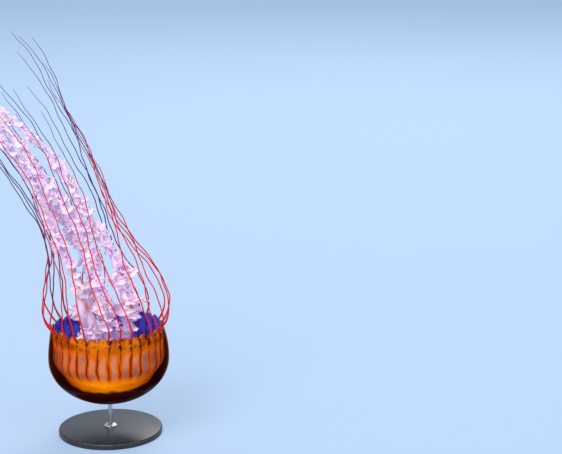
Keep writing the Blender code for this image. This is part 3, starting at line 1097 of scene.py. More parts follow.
@dataclass
class Bell:
    """The bell: a cup of jelly with a scalloped margin and a layer of flesh in its wall."""

    columns_per_lappet: int = 12
    rings: int = 160
    flesh_columns_per_lappet: int = 8
    dome_share: float = 0.62
    margin_jelly: float = 0.0030
    thick_below_waist: float = 0.030
    shoulder: float = 0.0090
    shoulder_z: float = 0.118
    shoulder_spread: float = 0.028
    collar: float = 0.0042
    collar_z: float = 0.187
    collar_spread: float = 0.019
    flesh_inset: float = 0.0008
    inset_share: float = 0.25
    flesh_thickness: float = 0.0005
    flesh_share: float = 0.35
    slope_step: float = 0.002
    lip: float = 0.0009
    lobe_power: float = 2.4
    lappet_rise: float = 0.0024
    cleft_depth: float = 0.0052
    lappet_tuck: float = 0.002
    ripple_from: float = 0.4
    sway: float = 0.0012
    sways: int = 3
    sway_phase: float = 0.7
    shiver: float = 0.0008
    shivers: int = 7
    uneven: float = 0.0011
    uneven_out: float = 1.4

    def build(self) -> list[bpy.types.Object]:
        """Models and dresses the bell.

        Returns:
            Its skin and the flesh in its wall.
        """
        columns = self.columns_per_lappet * PLAN.lappets
        flesh_columns = self.flesh_columns_per_lappet * PLAN.lappets
        skin = shaped_ball("bell_skin", columns, self.rings, self.skin_place)
        skin.data.materials.append(AmberJelly().make())
        flesh = shaped_ball("bell_flesh", flesh_columns, self.rings, self.flesh_place)
        flesh.data.materials.append(PanelFlesh().make())
        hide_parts("bell")
        for piece in (skin, flesh):
            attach(piece, "root")
        return [skin, flesh]

    def profile(self, share: Array) -> tuple[Array, Array]:
        """Gives the outer side from the crown to the margin.

        Args:
            share: How far along it, 0 to 1.

        Returns:
            The radius and the height there.
        """
        dome = np.clip(share / self.dome_share, 0, 1) * math.pi / 2
        collar = np.clip((share - self.dome_share) / (1 - self.dome_share), 0, 1)
        radius = PLAN.bell_radius * np.sin(dome) - (PLAN.bell_radius - PLAN.margin_radius) * collar**2
        height = PLAN.apex_z + PLAN.waist * (1 - np.cos(dome)) + PLAN.collar * collar
        return radius, height

    def thickness(self, along: Array) -> Array:
        """Gives the thickness of the jelly, which swells at the shoulder and again under the margin.

        Args:
            along: The share of the way from the crown to the margin.

        Returns:
            The thickness there.
        """
        height = self.profile(along)[1]
        thin = smooth(PLAN.waist_z - self.thick_below_waist, PLAN.rim_z - PLAN.cleft_depth, height)
        jelly = PLAN.jelly_at_apex + (self.margin_jelly - PLAN.jelly_at_apex) * thin
        jelly = jelly + self.shoulder * hump(self.shoulder_z, self.shoulder_spread, height)
        return jelly + self.collar * hump(self.collar_z, self.collar_spread, height)

    def skin_place(self, angle: Array, share: Array) -> Array:
        """Gives the skin's vertices: its outer side in the first half of the way, then its lining.

        Args:
            angle: The angle round the bell.
            share: The share of the way, 0 at the outer crown and 1 at the lining's.

        Returns:
            Rows of three.
        """
        along = 1 - np.abs(2 * share - 1)
        deep = np.where(share > 0.5, self.thickness(along), 0.0)
        edge = np.isclose(share, 0.5)
        place = self.wall_place(angle, along, np.where(edge, self.margin_jelly / 2, deep))
        place[:, 2] += np.where(edge, self.lip, 0.0)
        return place

    def flesh_place(self, angle: Array, share: Array) -> Array:
        """Gives the vertices of the flesh, a thin layer just outside the lining.

        Args:
            angle: The angle round the bell.
            share: The share of the way, over the layer's outer side and back over its inner side.

        Returns:
            Rows of three.
        """
        along = 1 - np.abs(2 * share - 1)
        jelly = self.thickness(along)
        inset = np.minimum(self.inset_share * jelly, self.flesh_inset)
        thick = np.minimum(self.flesh_share * jelly, self.flesh_thickness)
        side = np.where(np.isclose(share, 0.5), 0.5, np.where(share > 0.5, 0.0, 1.0))
        return self.wall_place(angle, along, jelly - inset - side * thick)

    def wall_place(self, angle: Array, along: Array, deep: Array) -> Array:
        """Gives places in the bell's wall, fluted on its way up and lobed at its margin.

        Args:
            angle: The angle round the bell.
            along: The share of the way from the crown to the margin.
            deep: How deep each place lies under the outer side.

        Returns:
            Rows of three.
        """
        radius, height = self.profile(along)
        r0, z0 = self.profile(np.clip(along - self.slope_step, 0, 1))
        r1, z1 = self.profile(np.clip(along + self.slope_step, 0, 1))
        length = np.hypot(r1 - r0, z1 - z0)
        radius = radius - deep * (z1 - z0) / length
        height = height + deep * (r1 - r0) / length

        turned = angle / PLAN.lappet_angle
        part = np.abs((turned + 0.5) % 1 - 0.5)
        lobe = np.sqrt(np.clip(1 - (1 - 2 * part) ** self.lobe_power, 0, 1))
        fluted = smooth(PLAN.apex_z + self.ripple_from * PLAN.waist, PLAN.rim_z, height)
        at_margin = smooth(PLAN.waist_z + self.ripple_from * PLAN.collar, PLAN.rim_z, height)
        radius = radius + PLAN.flute * (lobe - 0.5) * fluted - self.lappet_tuck * lobe * at_margin
        swayed = self.sway * at_margin * np.sin(self.sways * angle + self.sway_phase)
        radius = radius + swayed + self.shiver * at_margin * np.sin(self.shivers * angle)
        height = height + at_margin * (self.lappet_rise * lobe - self.cleft_depth * (1 - lobe))

        number = np.floor(turned) % PLAN.lappets
        lifted, pushed = self.unevenness(number)
        height = height + self.uneven * at_margin * lobe * lifted
        radius = radius + self.uneven_out * self.uneven * at_margin * lobe * pushed
        return np.stack([radius * np.sin(angle), -radius * np.cos(angle), height], axis=1)

    def unevenness(self, number: Array) -> tuple[Array, Array]:
        """Returns how far a lappet of some number stands up and how far out, each from -1 to 1."""
        return np.sin(2.4 * number + 2.0 * np.sin(5.1 * number)), np.sin(3.3 * number + 1.0)


@dataclass
class OralArm:
    """One oral arm: a mauve middle that carries lacy frills, turning slowly on its way up.

    leaves is the side of the mouth that it grows from, bow is how far it bows out just above the
    margin, and off is where it stands beyond that. Heights and reach are from the margin.
    """

    side: ArmSide
    leaves: Pair
    bow: Pair
    off: Pair
    full: float
    reach: float
    phase: float
    ring: float = 0.0170
    sunk: float = 0.012
    root_above_mouth: float = 0.0003
    leaving_from: float = 0.004
    leaving_to: float = 0.04
    bow_height: float = 0.015
    bow_spread: float = 0.035
    sway: float = 0.006
    sway_paces: Pair = (0.038, 0.047)
    sway_grown: Span = (0.02, 0.10)
    gather: float = 0.35
    gathered_at: Span = (0.16, 0.42)
    root_radius: float = 0.0085
    middle_radius: float = 0.0115
    tip_radius: float = 0.0032
    full_height: float = 0.02
    slim_at: Span = (0.03, 0.16)
    tip_from: float = 0.25
    swell: float = 0.20
    swell_pace: float = 0.0115
    frill_turn: float = 5.0
    frills: int = 5
    frill_rows: int = 880
    frill_foot: float = 0.006
    frill_end: float = 0.004
    middle_share: float = 0.26
    middle_rings: int = 260
    middle_columns: int = 36
    middle_ends: float = 0.25
    flatness: float = 0.45
    rounded: float = 0.25
    pleat: float = 0.07
    pleat_climb: float = 40.0
    small_pleat: float = 0.03
    bare_radius: float = 0.0125
    bare_foot: float = 0.0150
    foot_height: float = -0.030
    foot_spread: float = 0.030
    bare_from: float = -0.30
    bare_from_fade: float = 0.015
    bare_to: float = -0.02
    bare_to_fade: float = 0.03

    @property
    def root(self) -> float:
        """Returns the height above the margin, below 0, where the arm leaves the mouth."""
        return PLAN.mouth_top_z + self.root_above_mouth - PLAN.rim_z

    def middle(self, height: float) -> Vector:
        """Gives the middle of the arm, which follows the drift.

        Args:
            height: The height above the margin.

        Returns:
            The place.
        """
        leaving = float(smooth(self.root + self.leaving_from, self.leaving_to, height))
        bulge = float(hump(self.bow_height, self.bow_spread, height))
        grown = float(smooth(*self.sway_grown, height))
        pace_x, pace_y = self.sway_paces
        sway_x = self.sway * math.sin(height / pace_x + self.phase) * grown
        sway_y = self.sway * math.cos(height / pace_y + self.phase) * grown
        gathered = 1 - self.gather * float(smooth(*self.gathered_at, height))
        stands = [off * gathered + bow * bulge for off, bow in zip(self.off, self.bow)]
        return Vector((
            self.ring * self.leaves[0] * (1 - leaving) + stands[0] * leaving + sway_x + PLAN.drift(height),
            self.ring * self.leaves[1] * (1 - leaving) + stands[1] * leaving + sway_y,
            PLAN.rim_z + height,
        ))

    def radius(self, height: Array | float) -> Array | float:
        """Gives half the width of the arm with its frills.

        Args:
            height: The height above the margin.

        Returns:
            The half width there.
        """
        full = self.root_radius + (self.full - self.root_radius) * smooth(self.root, self.full_height, height)
        slim = full - (full - self.middle_radius) * smooth(*self.slim_at, height)
        tip = slim - (slim - self.tip_radius) * smooth(self.tip_from, self.reach, height)
        return tip * (1 + self.swell * np.sin(height / self.swell_pace + self.phase))

    def column(self, height: Array | float) -> Array | float:
        """Returns the radius of the bare column at a height above the margin, flared at its foot."""
        return self.bare_radius + self.bare_foot * hump(self.foot_height, self.foot_spread, height)

    def skirted(self, height: Array | float) -> Array | float:
        """Returns 1 where frills stand round the column's flared foot."""
        return 1 - smooth(self.bare_from - self.bare_from_fade, self.bare_from + self.bare_from_fade, height)

    def bareness(self, height: Array | float) -> Array | float:
        """Returns 1 where the arm is a smooth column and 0 where its frills hide it."""
        frilled = smooth(self.bare_to - self.bare_to_fade, self.bare_to + self.bare_to_fade, height)
        return (1 - self.skirted(height)) * (1 - frilled)

    def build(self, veil: bpy.types.Material, lace: bpy.types.Material) -> list[bpy.types.Object]:
        """Models and dresses the arm.

        Args:
            veil: The middle's finish.
            lace: The frills' finish.

        Returns:
            The middle, the frills and their lace.
        """
        middle = self.build_middle()
        middle.data.materials.append(veil)
        frills = self.build_frills()
        for piece in frills:
            piece.data.materials.append(lace)
        for piece in (middle, *frills):
            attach(piece, "root")
        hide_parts(f"arm_{self.side.value}_base", f"arm_{self.side.value}_tip")
        return [middle, *frills]

    def build_middle(self) -> bpy.types.Object:
        """Models the arm's middle, a folded column that goes over into a slim ribbon.

        Returns:
            The middle.
        """
        rings = self.middle_rings
        places, heights = even_route(self.middle, self.root - self.sunk, self.reach, rings)
        _, across, aside = carried_frames(places)
        twist = self.frill_turn * smooth(0.0, self.reach, heights)
        share_bare = np.maximum(self.bareness(heights), self.skirted(heights))
        ribbon = self.middle_share * self.radius(heights)
        closed = np.sin(np.linspace(0, math.pi, rings + 1)) ** self.middle_ends
        thick = (ribbon + (self.column(heights) - ribbon) * share_bare) * closed

        def place(angle: Array, share: Array) -> Array:
            """Gives the middle's vertices.

            Args:
                angle: The angle round the middle.
                share: The share of the way along it.

            Returns:
                Rows of three.
            """
            ring = np.round(share * rings).astype(int)
            column = share_bare[ring]
            flat = 1 + (self.flatness - self.rounded * column) * np.cos(2 * angle)
            pleats = self.pleat * np.sin(5 * angle + self.pleat_climb * heights[ring])
            pleats = pleats + self.small_pleat * np.sin(9 * angle + 1.0)
            reach = (thick[ring] * flat * (1 + column * pleats))[:, None]
            return places[ring] + reach * swung(angle + twist[ring], across[ring], aside[ring])

        return shaped_ball(f"arm_{self.side.value}_middle", self.middle_columns, rings, place)

    def build_frills(self) -> list[bpy.types.Object]:
        """Models the arm's frills and the lace along their edges.

        Returns:
            The joined frills and their joined lace.
        """
        route = ArmRoute.along(self)
        edges = [FrillEdge(self, index) for index in range(self.frills)]
        frills = joined([edge.frill(route) for edge in edges], f"arm_{self.side.value}_frills")
        lace = joined([edge.lace(route) for edge in edges], f"arm_{self.side.value}_lace")
        return [frills, lace]


@dataclass(frozen=True)
class ArmRoute:
    """Rows along an oral arm: its middle, its directions, its heights and its length so far."""

    places: Array
    ahead: Array
    cross: Array
    aside: Array
    heights: Array
    length: Array

    @classmethod
    def along(cls, arm: OralArm) -> "ArmRoute":
        """Samples an arm at even steps along its frills.

        Args:
            arm: The arm.

        Returns:
            Its rows.
        """
        foot, end = arm.root + arm.frill_foot, arm.reach - arm.frill_end
        places, heights = even_route(arm.middle, foot, end, arm.frill_rows)
        return cls(places, *carried_frames(places), heights, running_length(places))

    def at(self, share: Array) -> "ArmRoute":
        """Gives rows between these rows.

        Args:
            share: The share of the way of each, 0 to 1.

        Returns:
            The rows there.
        """
        known = np.arange(len(self.heights))
        steps = share * known[-1]
        vectors = [
            np.stack([np.interp(steps, known, column) for column in rows.T], axis=1)
            for rows in (self.places, self.ahead, self.cross, self.aside)
        ]
        return ArmRoute(*vectors, *(np.interp(steps, known, row) for row in (self.heights, self.length)))


@dataclass(frozen=True)
class Wander:
    """A wave along an arm whose pace wanders."""

    wavelength: float
    phase: float
    slow_wavelength: float
    slow_phase: float
    swing: float = 1.3
    pace_spread: ClassVar[Pair] = (0.92, 1.08)
    slower: ClassVar[Pair] = (4.5, 6.5)

    @classmethod
    def drawn(cls, chance: random.Random, wavelength: float) -> "Wander":
        """Draws a wave.

        Args:
            chance: The draws.
            wavelength: About its wavelength.

        Returns:
            The wave.
        """
        paced = wavelength * chance.uniform(*cls.pace_spread)
        phase = chance.uniform(0, TURN)
        slow = wavelength * chance.uniform(*cls.slower)
        return cls(paced, phase, slow, chance.uniform(0, TURN))

    def at(self, length: Array) -> Array:
        """Returns the wave's angle at each length along the arm."""
        slow = np.sin(TURN * length / self.slow_wavelength + self.slow_phase)
        return TURN * length / self.wavelength + self.phase + self.swing * slow


@dataclass
class FrillEdge:
    """One frill of an oral arm, with the lace along its edge.

    A swing turns the frill round the arm and a slide moves it along, each growing outwards by its power.
    """

    arm: OralArm
    index: int
    across: int = 10
    thickness: float = 0.0005
    wave_lengths: Triple = (0.021, 0.0094, 0.0050)
    swings: tuple[Pair, ...] = ((0.60, 1), (0.46, 1.3), (0.30, 2))
    slides: tuple[Pair, ...] = ((0.0050, 1), (0.0036, 1.4), (0.0018, 2))
    clump_lengths: Pair = (0.055, 0.024)
    clump_width: float = 0.55
    clump_swells: Pair = (0.42, 0.34)
    clump_range: Pair = (0.07, 1.14)
    notch_lengths: Triple = (0.0125, 0.0120, 0.0068)
    notch_depths: Triple = (0.18, 0.32, 0.26)
    notch_floor: float = 0.66
    notch_power: float = 0.6
    foot_share: float = 0.10
    bare_foot_share: float = 0.26
    skirt_share: float = 0.78
    lace_along: int = 2150
    lace_across: int = 3
    lace_wave: float = 0.0036
    lace_swell: float = 2.6
    lace_width: float = 0.0026
    lace_widths: Pair = (0.80, 0.35)
    lace_full: float = 0.006
    lace_least: float = 0.15
    lace_sunk: float = 0.0004
    lace_tilt: float = 1.25
    lace_slide: float = 0.45
    lace_from: float = 0.88
    lace_out_of_fold_shade: float = 0.75
    map_gap: float = 0.04
    waves: list[Wander] = field(init=False)
    clumps: list[Wander] = field(init=False)
    notches: list[Wander] = field(init=False)
    curls: list[Wander] = field(init=False)

    def __post_init__(self) -> None:
        """Draws the frill's waves."""
        chance = random.Random(f"{self.arm.side.value}{self.index}")
        self.waves = [Wander.drawn(chance, wavelength) for wavelength in self.wave_lengths]
        self.clumps = [Wander.drawn(chance, wavelength) for wavelength in self.clump_lengths]
        self.notches = [Wander.drawn(chance, wavelength) for wavelength in self.notch_lengths]
        self.curls = [Wander.drawn(chance, self.lace_wave * share) for share in (1.0, self.lace_swell)]

    def width(self, route: ArmRoute) -> Array:
        """Gives how far the frill stands out, which swells and shrinks in clumps.

        Args:
            route: The arm's rows.

        Returns:
            The width at each row.
        """
        clump = self.clump_width
        for swell, wave in zip(self.clump_swells, self.clumps):
            clump = clump + swell * np.sin(wave.at(route.length))
        clump = np.clip(clump, *self.clump_range)
        return self.arm.radius(route.heights) * clump * (1 - self.arm.bareness(route.heights))

    def places(self, route: ArmRoute, out: Array) -> Array:
        """Gives places on the frill.

        Args:
            route: The arm's rows, one for each place.
            out: How far out each place is, 0 at the root and 1 at the edge.

        Returns:
            Rows of three.
        """
        swell, lobe, notch = (np.sin(wave.at(route.length)) for wave in self.notches)
        swell_depth, lobe_depth, notch_depth = self.notch_depths
        ragged = self.notch_floor + swell_depth * swell + lobe_depth * np.abs(lobe) ** self.notch_power
        ragged = ragged + notch_depth * np.abs(notch) ** self.notch_power

        bareness = self.arm.bareness(route.heights)
        inset = self.arm.radius(route.heights) * (self.foot_share + self.bare_foot_share * bareness)
        skirt = self.skirt_share * self.arm.column(route.heights) - inset
        inset = inset + self.arm.skirted(route.heights) * skirt
        reach = inset + self.width(route) * out * (1 + out * (ragged - 1))

        turned = self.arm.frill_turn * smooth(0.0, self.arm.reach, route.heights)
        turned = turned + TURN * self.index / self.arm.frills
        slide = np.zeros_like(turned)
        for wave, (swing, swing_power), (slid, slide_power) in zip(self.waves, self.swings, self.slides):
            angle = wave.at(route.length)
            turned = turned + swing * out**swing_power * np.sin(angle)
            slide = slide + slid * out**slide_power * np.cos(angle)
        outward = swung(turned, route.cross, route.aside)
        return route.places + route.ahead * slide[:, None] + outward * reach[:, None]

    def frill(self, route: ArmRoute) -> bpy.types.Object:
        """Models the frill, a sheet gathered along the arm.

        Args:
            route: The arm's rows.

        Returns:
            The frill.
        """
        piece, share, out = ruled_sheet(len(route.heights) - 1, self.across)
        place_vertices(piece, self.places(route.at(share), out))
        return self.finished(piece, share, out, out)

    def lace(self, route: ArmRoute) -> bpy.types.Object:
        """Models the lace, a narrow ribbon that curls to and fro along the frill's edge.

        Args:
            route: The arm's rows.

        Returns:
            The lace.
        """
        piece, share, out = ruled_sheet(self.lace_along, self.lace_across)
        rows = route.at(np.linspace(0, 1, self.lace_along + 1))
        edge = self.places(rows, np.ones(self.lace_along + 1))
        within = self.places(rows, np.full(self.lace_along + 1, self.lace_from))
        outward = unit_rows(edge - within)
        side = unit_rows(np.cross(np.gradient(edge, axis=0), outward))
        ahead = np.cross(outward, side)
        curl, swell = (wave.at(running_length(edge)) for wave in self.curls)
        grown = np.clip(self.width(rows) / self.lace_full, self.lace_least, 1.0)
        plain, swelling = self.lace_widths
        width = self.lace_width * grown * (plain + swelling * np.sin(swell))

        step = np.round(share * self.lace_along).astype(int)
        tilt = self.lace_tilt * np.sin(curl[step]) * out**0.5
        reach = (width[step] * out - self.lace_sunk)[:, None]
        slide = (self.lace_slide * width[step] * out * np.cos(curl[step]))[:, None]
        curled = edge[step] + reach * swung(tilt, outward[step], side[step])
        place_vertices(piece, curled + slide * ahead[step])
        # The lace keeps its frill value high, so it gets little of the lilac painted fold shade.
        return self.finished(piece, share, out, self.lace_out_of_fold_shade + (1 - self.lace_out_of_fold_shade) * out)

    def finished(self, piece: bpy.types.Object, share: Array, out: Array, frill: Array) -> bpy.types.Object:
        """Gives a sheet its map, the frill that its finish reads, and its thickness.

        Args:
            piece: The sheet.
            share: How far along the arm each vertex is.
            out: How far across the sheet each vertex is.
            frill: How near the frill's edge each vertex is.

        Returns:
            The piece.
        """
        strip = piece.data.uv_layers.active
        strip.name = "OFBake"
        corners = np.empty(len(piece.data.loops), dtype=np.int32)
        piece.data.loops.foreach_get("vertex_index", corners)
        row = self.index + self.map_gap + (1 - 2 * self.map_gap) * out
        laid = np.stack([share, row / self.arm.frills], axis=1)[corners]
        strip.data.foreach_set("uv", laid.ravel())
        keep_values(piece, "frill", frill)
        wall = piece.modifiers.new("thickness", "SOLIDIFY")
        wall.thickness = self.thickness
        wall.offset = 0.0
        bpy.ops.object.modifier_apply(modifier=wall.name)
        bpy.ops.object.shade_smooth()
        return piece


@dataclass
class Mouth:
    """The mouth: a lobed column between the bell's floor and the four arms."""

    rings: int = 90
    columns: int = 96
    height: float = 0.061
    flare_levels: tuple[float, ...] = (0.0, 0.12, 0.35, 0.75, 0.95, 1.0)
    flares: tuple[float, ...] = (0.62, 0.70, 0.60, 0.82, 0.98, 1.0)
    end_power: int = 8
    lobes: int = 4
    lobe: float = 0.10
    lobe_growth: float = 0.12
    lobe_rise: float = 0.003
    pleats: int = 16
    pleat: float = 0.02

    def build(self, veil: bpy.types.Material) -> bpy.types.Object:
        """Models and dresses the mouth.

        Args:
            veil: Its finish.

        Returns:
            The mouth.
        """
        skin = shaped_ball("mouth_skin", self.columns, self.rings, self.place)
        skin.data.materials.append(veil)
        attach(skin, "root")
        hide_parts("mouth")
        return skin

    def place(self, angle: Array, share: Array) -> Array:
        """Gives the mouth's vertices, with a lobe for each arm.

        Args:
            angle: The angle round its axis.
            share: The share of the way up.

        Returns:
            Rows of three.
        """
        level = 0.5 - 0.5 * np.cos(share * math.pi)
        flare = np.interp(level, self.flare_levels, self.flares)
        ends = np.sqrt(np.clip(1 - (2 * share - 1) ** self.end_power, 0, 1))
        wave = np.cos(self.lobes * angle)
        lobed = 1 + (self.lobe + self.lobe_growth * level) * (wave - 1)
        radius = PLAN.mouth_radius * flare * ends * lobed * (1 + self.pleat * np.sin(self.pleats * angle))
        height = PLAN.mouth_top_z + self.height * (level - 1) + self.lobe_rise * level * wave
        return np.stack([radius * np.cos(angle), radius * np.sin(angle), height], axis=1)


@dataclass(frozen=True)
class TentacleHabit:
    """What sets one tentacle apart from the others: its length, its lean and its long wave."""

    length: float
    lean: float
    phase: float
    wavelength: float


@dataclass
class Tentacles:
    """The twenty-four tentacles, three between each two sense organs.

    Each grows out of a cleft, bows outwards, closes in on the arms and spreads again far up, while
    the current carries it. Paces are the heights that a wave's angle grows by one over.
    """

    arms: list[OralArm]
    root_radius: float = 0.0017
    tip_radius: float = 0.0006
    lengths: Pair = (0.40, 0.60)
    leans: Pair = (-0.05, 0.05)
    wavelengths: Pair = (0.15, 0.22)
    sunk: float = 0.004
    rings: int = 180
    columns: int = 10
    bow: float = 0.15
    bow_height: float = 0.042
    closing: float = 0.40
    closing_at: Span = (0.03, 0.25)
    spreading: float = 0.30
    spreading_at: Span = (0.28, 0.62)
    loose_at: Span = (0.0, 0.06)
    slow_pace: float = 9.0
    slow_in: float = 0.010
    slow_round: float = 0.011
    quick_in: float = 0.004
    quick_round: float = 0.003
    carried: float = 0.72
    carried_less: float = 0.12
    past_arm: float = 0.06
    least_room: float = 0.0001
    ripple: float = 0.0007
    ripple_at: Span = (0.02, 0.09)
    ripple_paces: Pair = (0.0072, 0.0117)
    swirl_paces: Pair = (0.0083, 0.0139)
    second_ripple: float = 0.8
    taper_power: float = 0.7
    root_flare: float = 1.05
    flare_height: float = 0.030
    beading: float = 0.05
    beading_pace: float = 0.0031
    end_power: float = 0.3
    painted_dusk_mean: float = 0.5
    painted_dusk_round: float = 0.38
    painted_dusk_turned: float = 0.5
    painted_dusk_uneven: float = 0.22

    @property
    def ring(self) -> float:
        """Returns the radius of the ring that the tentacles grow from."""
        return PLAN.margin_radius - (PLAN.jelly_at_margin + PLAN.flute) / 2

    def build(self) -> list[bpy.types.Object]:
        """Models and dresses the tentacles.

        Returns:
            The tentacles.
        """
        finish = RedThread().make()
        clefts = [index for index in range(PLAN.lappets) if index % PLAN.clefts_per_sense_organ]
        made = []
        for number, index in enumerate(clefts, start=1):
            thread = self.thread(number, index)
            thread.data.materials.append(finish)
            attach(thread, "root")
            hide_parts(f"tentacle_{number:02d}_base", f"tentacle_{number:02d}_tip")
            made.append(thread)
        return made

    def habit(self, index: int) -> TentacleHabit:
        """Draws a tentacle's habit, the same each time for the same tentacle.

        Args:
            index: The cleft that it grows from.

        Returns:
            The habit.
        """
        chance = random.Random(PLAN.tentacle_seed + index)
        spans = (self.lengths, self.leans, (0, TURN), self.wavelengths)
        return TentacleHabit(*(chance.uniform(*span) for span in spans))

    def kept_clear(self, place: Vector) -> Vector:
        """Moves a tentacle's place aside where an oral arm is in its way.

        Args:
            place: The place.

        Returns:
            The place, or one beside it.
        """
        height = place.z - PLAN.rim_z
        slope = PLAN.drift_slope(height)
        for arm in self.arms:
            middle = arm.middle(height)
            beside = 1 - float(smooth(arm.reach, arm.reach + self.past_arm, height))
            room = (float(arm.radius(height)) + PLAN.clearance) * beside
            aside = place - middle
            distance = max(self.least_room, math.hypot(aside.x / math.hypot(1, slope), aside.y))
            place = middle + aside * ((distance**3 + room**3) ** (1 / 3) / distance)
        return place

    def route(self, index: int, height: float) -> Vector:
        """Gives a tentacle's place.

        Args:
            index: The cleft that it grows from.
            height: The height above the cleft.

        Returns:
            The place.
        """
        risen = max(0.0, height)
        angle = (index - 1) * PLAN.lappet_angle
        habit = self.habit(index)
        bow = self.bow * risen / self.bow_height * math.exp(1 - risen / self.bow_height)
        closed = self.closing * float(smooth(*self.closing_at, risen))
        spread = 1 + bow - closed + self.spreading * float(smooth(*self.spreading_at, risen))
        loose = float(smooth(*self.loose_at, risen))
        slow = self.slow_pace * math.sqrt(risen)
        quick = TURN * risen / habit.wavelength + habit.phase
        sway_in = self.slow_in * math.sin(slow + 3 * angle) + self.quick_in * math.sin(quick)
        sway_round = self.slow_round * math.sin(slow + 2 * angle + 1.0) + self.quick_round * math.cos(quick)
        radius = self.ring * spread + loose * sway_in
        turn = loose * sway_round
        lean = self.carried - self.carried_less * math.sin(angle) + habit.lean
        place = Vector((
            radius * math.sin(angle) + turn * math.cos(angle) + lean * PLAN.drift(risen),
            -radius * math.cos(angle) + turn * math.sin(angle),
            PLAN.rim_z - PLAN.cleft_depth + height,
        ))
        return place.lerp(self.kept_clear(place), loose)

    def rippled(self, index: int, heights: Array, across: Array, aside: Array) -> Array:
        """Works out the fine ripple along a tentacle.

        Args:
            index: The cleft that it grows from.
            heights: The height of each of its rings above the cleft.
            across: Its first cross direction at each ring.
            aside: Its second cross direction at each ring.

        Returns:
            How far each ring moves, as rows of three.
        """
        first, second = (heights / pace for pace in self.ripple_paces)
        ripple = np.sin(first + 2.0 * index) + self.second_ripple * np.sin(second + index)
        first, second = (heights / pace for pace in self.swirl_paces)
        swirl = np.cos(first + 3.0 * index) + self.second_ripple * np.sin(second + 0.5 * index)
        grown = smooth(*self.ripple_at, heights)[:, None]
        return self.ripple * grown * (ripple[:, None] * across + swirl[:, None] * aside)

    def thickness(self, index: int, heights: Array, length: float) -> Array:
        """Works out a tentacle's radius, flared where it grows out of the margin and fine at its tip.

        Args:
            index: The cleft that it grows from.
            heights: The height of each of its rings above the cleft.
            length: The height of its tip.

        Returns:
            The radius at each ring.
        """
        share_up = np.clip(heights / length, 0, 1)
        thick = self.root_radius + (self.tip_radius - self.root_radius) * share_up**self.taper_power
        thick = thick * (1 + self.root_flare * hump(-self.sunk, self.flare_height, heights))
        beads = 1 + self.beading * np.sin(heights / self.beading_pace + index)
        closed = np.sqrt(np.sin(np.linspace(0, math.pi, self.rings + 1)) ** self.end_power)
        return thick * beads * closed

    def painted_dusk(self, index: int) -> float:
        """Gives how early a tentacle darkens, which is early on the far side of the bell.

        Args:
            index: The cleft that it grows from.

        Returns:
            A number from 0 to 1.
        """
        turned = (index - 1) * PLAN.lappet_angle
        painted_dusk = self.painted_dusk_mean - self.painted_dusk_round * math.cos(turned - self.painted_dusk_turned)
        return min(1.0, max(0.0, painted_dusk + self.painted_dusk_uneven * math.sin(5 * turned + 1.0)))

    def thread(self, number: int, index: int) -> bpy.types.Object:
        """Models one tentacle.

        Args:
            number: Its number, for its name.
            index: The cleft that it grows from.

        Returns:
            The tentacle.
        """
        length = self.habit(index).length
        middle, heights = even_route(partial(self.route, index), -self.sunk, length, self.rings)
        _, across, aside = carried_frames(middle)
        middle = middle + self.rippled(index, heights, across, aside)
        thick = self.thickness(index, heights, length)

        def place(angle: Array, share: Array) -> Array:
            """Returns the tentacle's vertices at angles round it and shares of the way along it."""
            ring = np.round(share * self.rings).astype(int)
            return middle[ring] + thick[ring][:, None] * swung(angle, across[ring], aside[ring])

        thread = shaped_ball(f"tentacle_{number:02d}_thread", self.columns, self.rings, place)
        # How early painted shade darkens this tentacle.
        keep_values(thread, "painted_dusk", np.full(len(thread.data.vertices), self.painted_dusk(index)))
        return thread


@dataclass(frozen=True)
class Lamp:
    """A soft square light that faces the animal."""

    name: str
    place: Triple
    size: float
    watts: float
    colour: Colour
    faced: Triple = (-0.05, 0.0, 0.3)

    def hang(self) -> None:
        """Hangs the light in the scene."""
        lamp = bpy.data.lights.new(self.name, "AREA")
        lamp.size = self.size
        lamp.energy = self.watts
        lamp.color = self.colour
        holder = bpy.data.objects.new(self.name, lamp)
        holder.location = self.place
        facing = Vector(self.faced) - Vector(self.place)
        holder.rotation_euler = facing.to_track_quat("-Z", "Y").to_euler()
        bpy.context.scene.collection.objects.link(holder)


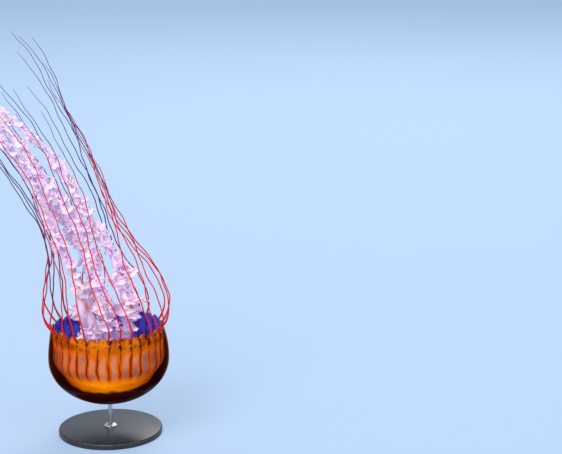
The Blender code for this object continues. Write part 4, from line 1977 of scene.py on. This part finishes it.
@dataclass
class Studio:
    """A pale floor that sweeps up far off, soft lights and the camera."""

    floor_radius: float = 10.0
    floor_sides: int = 96
    bend: float = 2.0
    bend_steps: int = 16
    wall_height: float = 2.0
    air: Colour = (0.80, 0.88, 1.0)
    air_strength: float = 0.75
    lamps: tuple[Lamp, ...] = (
        Lamp("key", (-3.2, -4.4, 6.0), size=4.0, watts=420.0, colour=(1.0, 0.97, 0.93)),
        Lamp("fill", (5.2, -4.8, 4.0), size=4.8, watts=120.0, colour=(0.93, 0.96, 1.0)),
        Lamp("low", (-2.0, -7.2, 2.4), size=3.2, watts=130.0, colour=(1.0, 0.96, 0.90)),
        Lamp("back", (1.8, 4.8, 5.2), size=4.0, watts=340.0, colour=(1.0, 0.98, 0.96)),
    )
    distance: float = 3.2
    elevation: float = math.radians(18.0)
    pitch: float = math.radians(13.4)
    yaw: float = math.radians(6.49)
    frame_width: float = 1.134
    sensor: float = 36.0
    farthest: float = 50.0

    def build(self) -> None:
        """Makes the floor, the lights, the air and the camera."""
        self.floor()
        for lamp in self.lamps:
            lamp.hang()
        world = bpy.data.worlds.new("studio_air")
        world.use_nodes = True
        air = world.node_tree.nodes["Background"]
        feed(air.inputs["Color"], self.air)
        feed(air.inputs["Strength"], self.air_strength)
        bpy.context.scene.world = world
        bpy.context.scene.view_settings.view_transform = "Standard"
        self.camera()

    def floor(self) -> None:
        """Models the floor: a wide disc whose edge is extruded round a bend and up, all the way round."""
        deselect_all()
        radius = self.floor_radius
        bpy.ops.mesh.primitive_circle_add(vertices=self.floor_sides, radius=radius, fill_type="NGON")
        floor = bpy.context.object
        floor.name = floor.data.name = "studio_floor"
        bpy.ops.object.mode_set(mode="EDIT")
        bpy.ops.mesh.select_mode(type="EDGE")
        bpy.ops.mesh.select_all(action="SELECT")
        for step in range(self.bend_steps):
            low, high = (math.pi / 2 * (step + extra) / self.bend_steps for extra in (0, 1))
            wider = radius + self.bend * (math.sin(high) - math.sin(low))
            rise = {"value": (0, 0, self.bend * (math.cos(low) - math.cos(high)))}
            bpy.ops.mesh.extrude_edges_move(TRANSFORM_OT_translate=rise)
            bpy.ops.transform.resize(value=(wider / radius, wider / radius, 1.0))
            radius = wider
        bpy.ops.mesh.extrude_edges_move(TRANSFORM_OT_translate={"value": (0, 0, self.wall_height)})
        bpy.ops.object.mode_set(mode="OBJECT")
        floor.data.flip_normals()
        bpy.ops.object.shade_smooth()
        floor.data.materials.append(StudioPaper().make())

    def camera(self) -> None:
        """Sets the camera before the bell, looking past it to the right."""
        eye = bpy.data.cameras.new("camera")
        eye.sensor_width = self.sensor
        eye.lens = self.sensor * self.distance / self.frame_width
        eye.clip_end = self.farthest
        holder = bpy.data.objects.new("camera", eye)
        holder.location = (
            0.0,
            -self.distance * math.cos(self.elevation),
            PLAN.waist_z + self.distance * math.sin(self.elevation),
        )
        holder.rotation_euler = (math.pi / 2 - self.pitch, 0.0, -self.yaw)
        bpy.context.scene.collection.objects.link(holder)
        bpy.context.scene.camera = holder


def oral_arms() -> list[OralArm]:
    """Works out the four oral arms, as the solids have them.

    Returns:
        The arms.
    """
    left, front, right, back = ArmSide
    return [
        OralArm(left, (-1, 0), (-0.002, 0.0), (-0.040, -0.006), full=0.0190, reach=0.50, phase=-0.1,
                bare_from=-0.002, bare_to=0.070),
        OralArm(front, (0, -1), (-0.006, -0.010), (0.006, -0.022), full=0.0180, reach=0.54, phase=2.8),
        OralArm(right, (1, 0), (0.004, 0.0), (0.045, 0.004), full=0.0225, reach=0.51, phase=-1.0),
        OralArm(back, (0, 1), (-0.040, 0.0), (-0.018, 0.038), full=0.0175, reach=0.47, phase=5.0),
    ]


def report(pieces: list[bpy.types.Object]) -> None:
    """Logs each piece with its count of faces."""
    for piece in pieces:
        LOG.info("%s: %d faces", piece.name, len(piece.data.polygons))


def main() -> None:
    """Builds the studio, the stand and the animal, and logs each piece's count of faces."""
    logging.basicConfig(level=logging.INFO, format="%(message)s")
    Studio().build()
    report(DisplayStand().build())
    report(Bell().build())
    veil = MauveVeil().make()
    lace = LacyMembrane().make()
    report([Mouth().build(veil)])
    arms = oral_arms()
    for arm in arms:
        report(arm.build(veil, lace))
    report(Tentacles(arms).build())


if __name__ == "__main__":
    main()
